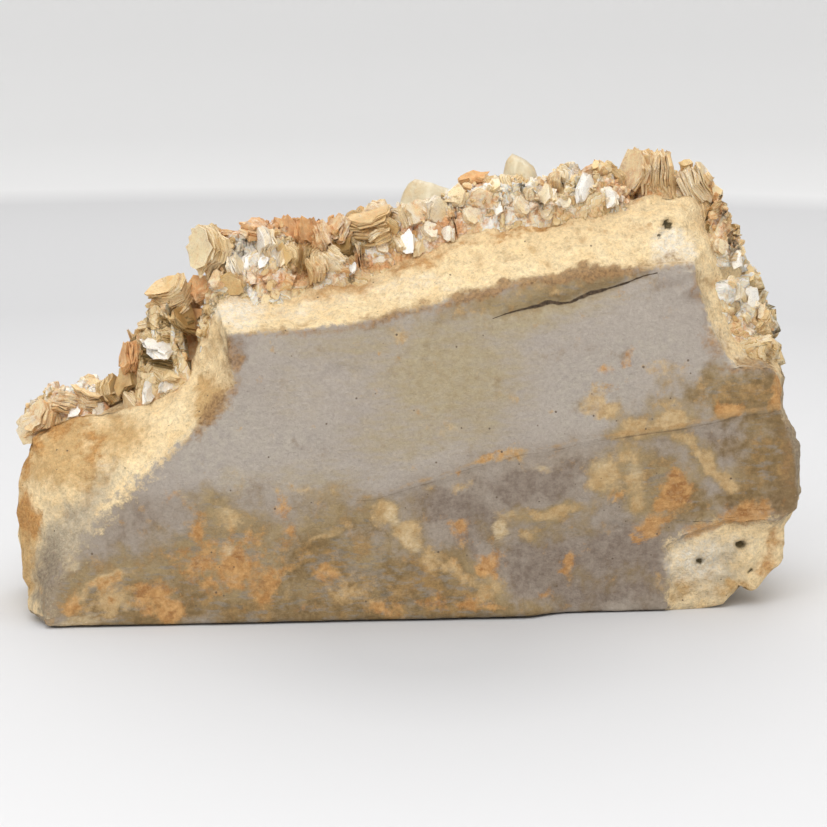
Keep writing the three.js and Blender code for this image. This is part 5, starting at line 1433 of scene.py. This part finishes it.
def hidden_collection(name, meshes):
    group = bpy.data.collections.new(name)
    for i, mesh in enumerate(meshes):
        group.objects.link(bpy.data.objects.new(f"{name}_{i:02d}", mesh))
    return group


def make_kinds(tree, name, kinds, corners, hubs):
    """Books or flakes to choose from: one for each (sheets, bend, fan, chips)."""
    made = []
    for i, (sheets, bend, fan, chips) in enumerate(kinds):
        values = {"Sheets": sheets, "Bend": bend, "Fan": fan, "Chips": chips, "Seed": 11 * i}
        made.append(run_tree(tree, sheet_mesh(corners, hubs, i), values))
    return hidden_collection(name, made)


# Kinds of book: sheets, bend, fan, chips. Four are for thin books, three for middling, three for thick.
BOOK_KINDS = [
    (5, 0.1, 0.03, 0.6), (5, -0.2, 0.04, 0.7), (6, 0.2, 0.05, 0.75), (7, -0.2, 0.04, 0.7),
    (11, 0.15, 0.03, 0.7), (11, -0.2, 0.03, 0.65), (12, 0.25, 0.03, 0.7), (17, 0.15, 0.025, 0.65),
    (17, -0.2, 0.025, 0.7), (17, 0.2, 0.03, 0.7),
]
SMALL_KINDS = [(4, 0.15, 0.05, 0.5), (4, -0.2, 0.06, 0.5), (4, 0.25, 0.05, 0.6), (4, -0.1, 0.06, 0.55)]
SCALE_KINDS = [(2, 0.1, 0.12, 0.3), (2, -0.2, 0.15, 0.3), (3, 0.2, 0.1, 0.3), (2, 0.0, 0.2, 0.3)]
THIN, MIDDLING = 2.6, 4.6  # books up to these thicknesses
SMALL_BOOKS_PER_MM2, SMALL_BOOK_RADIUS = 0.026, 2.4
SCALES_PER_MM2, SCALE_RADIUS = 0.09, 1.25
CRUMPLE, BLOCK_STEP = 3, 1.4  # mm: how far sheets are crumpled, and the steps on the beds' blocks


def kind_of(book, k):
    """The kind of book whose sheets come nearest half a millimetre thick."""
    if book["thick"] < THIN:
        return int(4 * chance(k, 50))
    return (4 if book["thick"] < MIDDLING else 7) + int(3 * chance(k, 50))


def build_crust(shells, books):
    """The five clusters of muscovite: a bed of books grown together, and the books that stand out of it."""
    stack, crust, blocks = book_tree(), crust_tree(), bed_tree()
    kinds = make_kinds(stack, "book", BOOK_KINDS, 12, True)
    small = make_kinds(stack, "small_book", SMALL_KINDS, 8, False)
    scales = make_kinds(stack, "scale", SCALE_KINDS, 6, False)
    mica, bed = muscovite(), mica_bed()
    for i, name in enumerate(PATCHES):
        mesh = run_tree(blocks, new_mesh(name + "_bed", *shells[name]), {"Relief": MM, "Step": BLOCK_STEP})
        mesh.materials.append(bed)
        smooth_shaded(mesh)
        parts = [("_bed", mesh)]
        own_books = [b for b in books if b["patch"] == name]
        for part, stands, share in (("_books", own_books, 0), ("_flakes", [], 1)):
            stood = book_points(stands)
            parts.append((part, run_tree(crust, mesh, {
                "Books": stood, "Kinds": kinds, "Small kinds": small, "Scales": scales,
                "Small books per area": share * SMALL_BOOKS_PER_MM2 / MM ** 2,
                "Small book radius": SMALL_BOOK_RADIUS * MM,
                "Scales per area": share * SCALES_PER_MM2 / MM ** 2, "Scale radius": SCALE_RADIUS * MM,
                "Seed": 100 * (i + 1), "Crumple": CRUMPLE * MM, "Mica": mica})))
            bpy.data.objects.remove(stood)
        for part, made in parts:
            piece = new_object(name + part, made)
            keep_inside(made)
            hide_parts(name)
            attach(piece, "root")
    for group in (kinds, small, scales):
        for obj in list(group.objects):
            bpy.data.objects.remove(obj)
        bpy.data.collections.remove(group)


def prism_mesh(prism):
    """A six-sided prism with uneven faces, worn edges and a bevelled flat end, one closed mesh."""
    name, radius, reach = prism["name"], prism["radius"], prism["reach"]
    salt = prism["radius"]
    corners = []
    for i in range(6):
        angle = prism["turn"] + (i + 0.12 * (chance(i, salt) - 0.5)) * math.pi / 3
        r = radius * (0.985 - 0.05 * chance(i, salt + 1))
        corners.append((r * math.sin(angle), r * math.cos(angle) * 0.9))
    corners = np.array(corners)
    mesh = bpy.data.meshes.new("aquamarine_" + name)
    shape = bmesh.new()
    levels = [(-SUNK, 1.0), (reach - 0.16 * radius, 1.0), (reach - 0.02, 0.84)]
    rings = [[shape.verts.new((x * s, y * s, z)) for x, y in corners[::-1]] for z, s in levels]
    shape.faces.new(rings[0][::-1])
    shape.faces.new(rings[-1])
    for low, high in zip(rings, rings[1:]):
        for i in range(6):
            j = (i + 1) % 6
            shape.faces.new((low[i], low[j], high[j], high[i]))
    bmesh.ops.recalc_face_normals(shape, faces=shape.faces)
    worn = [e for e in shape.edges if e.verts[0].co.z > -SUNK + 0.1 or e.verts[1].co.z > -SUNK + 0.1]
    bmesh.ops.bevel(shape, geom=worn, offset=0.035 * radius, segments=2, profile=0.6, affect="EDGES")
    turn = Vector((0, 0, 1)).rotation_difference(prism["way"])
    shape.to_mesh(mesh)
    points = np.array([v.co[:] for v in shape.verts])
    # Grooves follow the prism: tight round it and long along it.
    angles = np.arctan2(points[:, 1], points[:, 0])
    grooves = np.stack([np.cos(angles) * 9, np.sin(angles) * 9, points[:, 2] * 0.06], axis=1)
    shape.free()
    mesh.attributes.new("prism", "FLOAT_VECTOR", "POINT").data.foreach_set("vector", grooves.ravel())
    matrix = np.array(turn.to_matrix())
    stood = points @ matrix.T + np.array(prism["foot"][:])
    mesh.vertices.foreach_set("co", place(stood).ravel())
    mesh.update()
    return mesh


def worn_mesh(prism):
    """A prism broken off and worn to a stub: tapered, slanted, rounded and rough, one closed mesh."""
    around, levels, radius, reach = 54, 26, prism["radius"], prism["reach"]
    angles = np.tile(np.linspace(0, 2 * np.pi, around, endpoint=False), (levels, 1))
    up = np.repeat(np.linspace(0, 1, levels)[:, None], around, axis=1)
    sixth = np.mod(angles - prism["turn"], np.pi / 3) - np.pi / 6
    side = 0.94 * 0.866 / np.cos(sixth) + 0.05
    taper = (1 - 0.08 * up) * np.sqrt(1 - 0.5 * np.clip((up - 0.7) / 0.3, 0, 1) ** 3)
    top = reach * (0.88 + 0.1 * np.cos(angles - 2.4))
    rings = np.stack([radius * side * taper * np.cos(angles), radius * side * taper * np.sin(angles),
                      -SUNK + (top + SUNK) * up], axis=2).reshape(-1, 3)
    tip, foot = rings[-around:].mean(axis=0) + (0, 0, 0.3), rings[:around].mean(axis=0)
    points = np.concatenate([rings, [tip, foot]])
    outward = points * (1, 1, 0) / np.maximum(np.hypot(points[:, 0], points[:, 1])[:, None], 0.5)
    worn = 0.13 * radius * rough(points, 0.8 * radius, 4, radius, 0.55) - 0.03 * radius
    points = points + outward * worn[:, None]
    points[:, 2] += 0.06 * radius * rough(points, 0.7 * radius, 3, radius + 2) * (points[:, 2] > 0)
    faces = []
    for ring in range(levels - 1):
        for i in range(around):
            j, low, high = (i + 1) % around, ring * around, (ring + 1) * around
            faces.append((low + i, low + j, high + j, high + i))
    last = (levels - 1) * around
    for i in range(around):
        j = (i + 1) % around
        faces.append((last + i, last + j, last + around))
        faces.append((j, i, last + around + 1))
    turn = np.array(Vector((0, 0, 1)).rotation_difference(prism["way"]).to_matrix())
    mesh = new_mesh("aquamarine_" + prism["name"], points @ turn.T + np.array(prism["foot"][:]), faces,
                    {"prism": points * (0.5, 0.5, 0.1)})
    smooth_shaded(mesh)
    return mesh


def build_prisms():
    clear = beryl("aquamarine, clear blue-green beryl", roughness=0.05, tint="#a0dde6", density=12,
                  etched=0.15, body="#def4f6", clear=0.86, film=0.0)
    worn = beryl("aquamarine, worn, frosted and filmed with iron", roughness=0.32, tint="#e8e6cc",
                 density=5, etched=0.7, body="#f4e8c6", clear=0.35, film=0.95)
    for prism in AQUAMARINES:
        at_ridge = prism["name"].startswith("ridge")
        shape = worn_mesh(prism) if at_ridge else prism_mesh(prism)
        obj = new_object("aquamarine_" + prism["name"] + "_crystal", shape)
        obj.data.materials.append(worn if at_ridge else clear)
        keep_inside(obj.data)
        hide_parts("aquamarine_" + prism["name"])
        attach(obj, "root")


# ---- Stage, light and camera -----------------------------------------------------------------------
# The sweep's profile, radius and height in metres, and its painted light and shadow by the distance from
# the specimen.
SWEEP = (
    (0.5, 0), (1.0, 0), (1.6, 0), (1.9, 0.03), (2.15, 0.12), (2.35, 0.28), (2.5, 0.5), (2.58, 0.8),
    (2.6, 1.5))
PAINTED_FLOOR_SHADE = (
    (0.02, "#c4c4c5"), (0.05, "#d0d0d1"), (0.09, "#d6d6d7"), (0.12, "#d9d9da"), (0.23, "#d6d6d7"),
    (0.44, "#cdcdce"), (0.89, "#d9d9da"), (1.0, "#f4f4f4"))


def build_stage():
    """A white sweep: a round floor that turns up into a wall, far off on every side."""
    around, points, faces = 96, [], []
    for r, z in SWEEP:
        points += [(r * math.cos(2 * math.pi * i / around), r * math.sin(2 * math.pi * i / around), z)
                   for i in range(around)]
    points.append((0, 0, 0))
    for i in range(around):
        j = (i + 1) % around
        faces.append((len(points) - 1, i, j))
        for ring in range(len(SWEEP) - 1):
            a, b = ring * around, (ring + 1) * around
            faces.append((a + i, b + i, b + j, a + j))
    mesh = bpy.data.meshes.new("floor_sweep")
    mesh.from_pydata(points, [], faces)
    smooth_shaded(mesh)
    sweep = new_object("floor_sweep", mesh)
    material, tree, shader, mm, _ = new_material("white matte board")
    # Its tone is graded from under the specimen outwards: painted shadow round it, painted light and shade
    # further out.
    shifted = add(tree, VECTOR_MATH, {0: mm, 1: (0, 60, 0)}, operation="ADD")
    round_it = add(tree, VECTOR_MATH, {0: shifted, 1: (1.8, 1.2, 1)}, operation="MULTIPLY")
    away = add(tree, VECTOR_MATH, {0: round_it}, out="Value", operation="LENGTH")
    out = add(tree, MATH, {0: away, 1: 2000}, operation="DIVIDE")
    board = add(tree, "ShaderNodeValToRGB", {0: out})
    grade(board.node.color_ramp, PAINTED_FLOOR_SHADE)
    feed(tree, shader, {"Base Color": board, "Roughness": 0.9, "Specular IOR Level": 0.2})
    mesh.materials.append(material)


def add_softbox(name, at, aim, size, watts):
    lamp = bpy.data.lights.new(name, "AREA")
    lamp.shape, lamp.size, lamp.size_y = "RECTANGLE", *size
    lamp.energy = watts
    obj = bpy.data.objects.new(name, lamp)
    obj.location = at
    obj.rotation_euler = (Vector(aim) - Vector(at)).to_track_quat("-Z", "Y").to_euler()
    bpy.context.scene.collection.objects.link(obj)


def light_and_camera():
    scene = bpy.context.scene
    world = bpy.data.worlds.new("soft white room")
    scene.world = world
    world.use_nodes = True
    background = world.node_tree.nodes["Background"]
    feed(world.node_tree, background, {"Color": colour("#f6f5f4"), "Strength": 0.7})
    middle = (0, 0, 0.05)
    add_softbox("overhead", (0.05, -0.1, 1.5), middle, (1.6, 1.3), 8.5)
    add_softbox("front_high", (-0.35, -1.15, 1.05), middle, (1.3, 0.8), 11.5)
    add_softbox("back_high", (0.2, 1.15, 1.2), middle, (1.3, 0.8), 5)
    scene.view_settings.view_transform = "Standard"
    scene.view_settings.look = "None"
    camera = bpy.data.objects.new("camera", bpy.data.cameras.new("camera"))
    scene.collection.objects.link(camera)
    camera.data.sensor_width, camera.data.lens = 36, 108.8
    camera.data.clip_start = 0.01
    camera.location = place(EYE)
    aim = Vector(place(AIM))
    camera.rotation_euler = (aim - camera.location).to_track_quat("-Z", "Y").to_euler()
    scene.camera = camera


def build():
    points, quads = build_rock()
    ground = BVHTree.FromPolygons(points.tolist(), quads.tolist())
    stand_prisms(ground)
    normals = normals_of(points, quads)
    shells = {name: bed_over(patch, points, normals, quads) for name, patch in PATCHES.items()}
    beds = {name: BVHTree.FromPolygons(shell.tolist(), faces) for name, (shell, faces, _) in shells.items()}
    books = books_in_rows(ground, beds)
    for k, book in enumerate(books):
        book["kind"] = kind_of(book, k)
    build_crust(shells, books)
    build_prisms()
    build_stage()
    light_and_camera()


build()
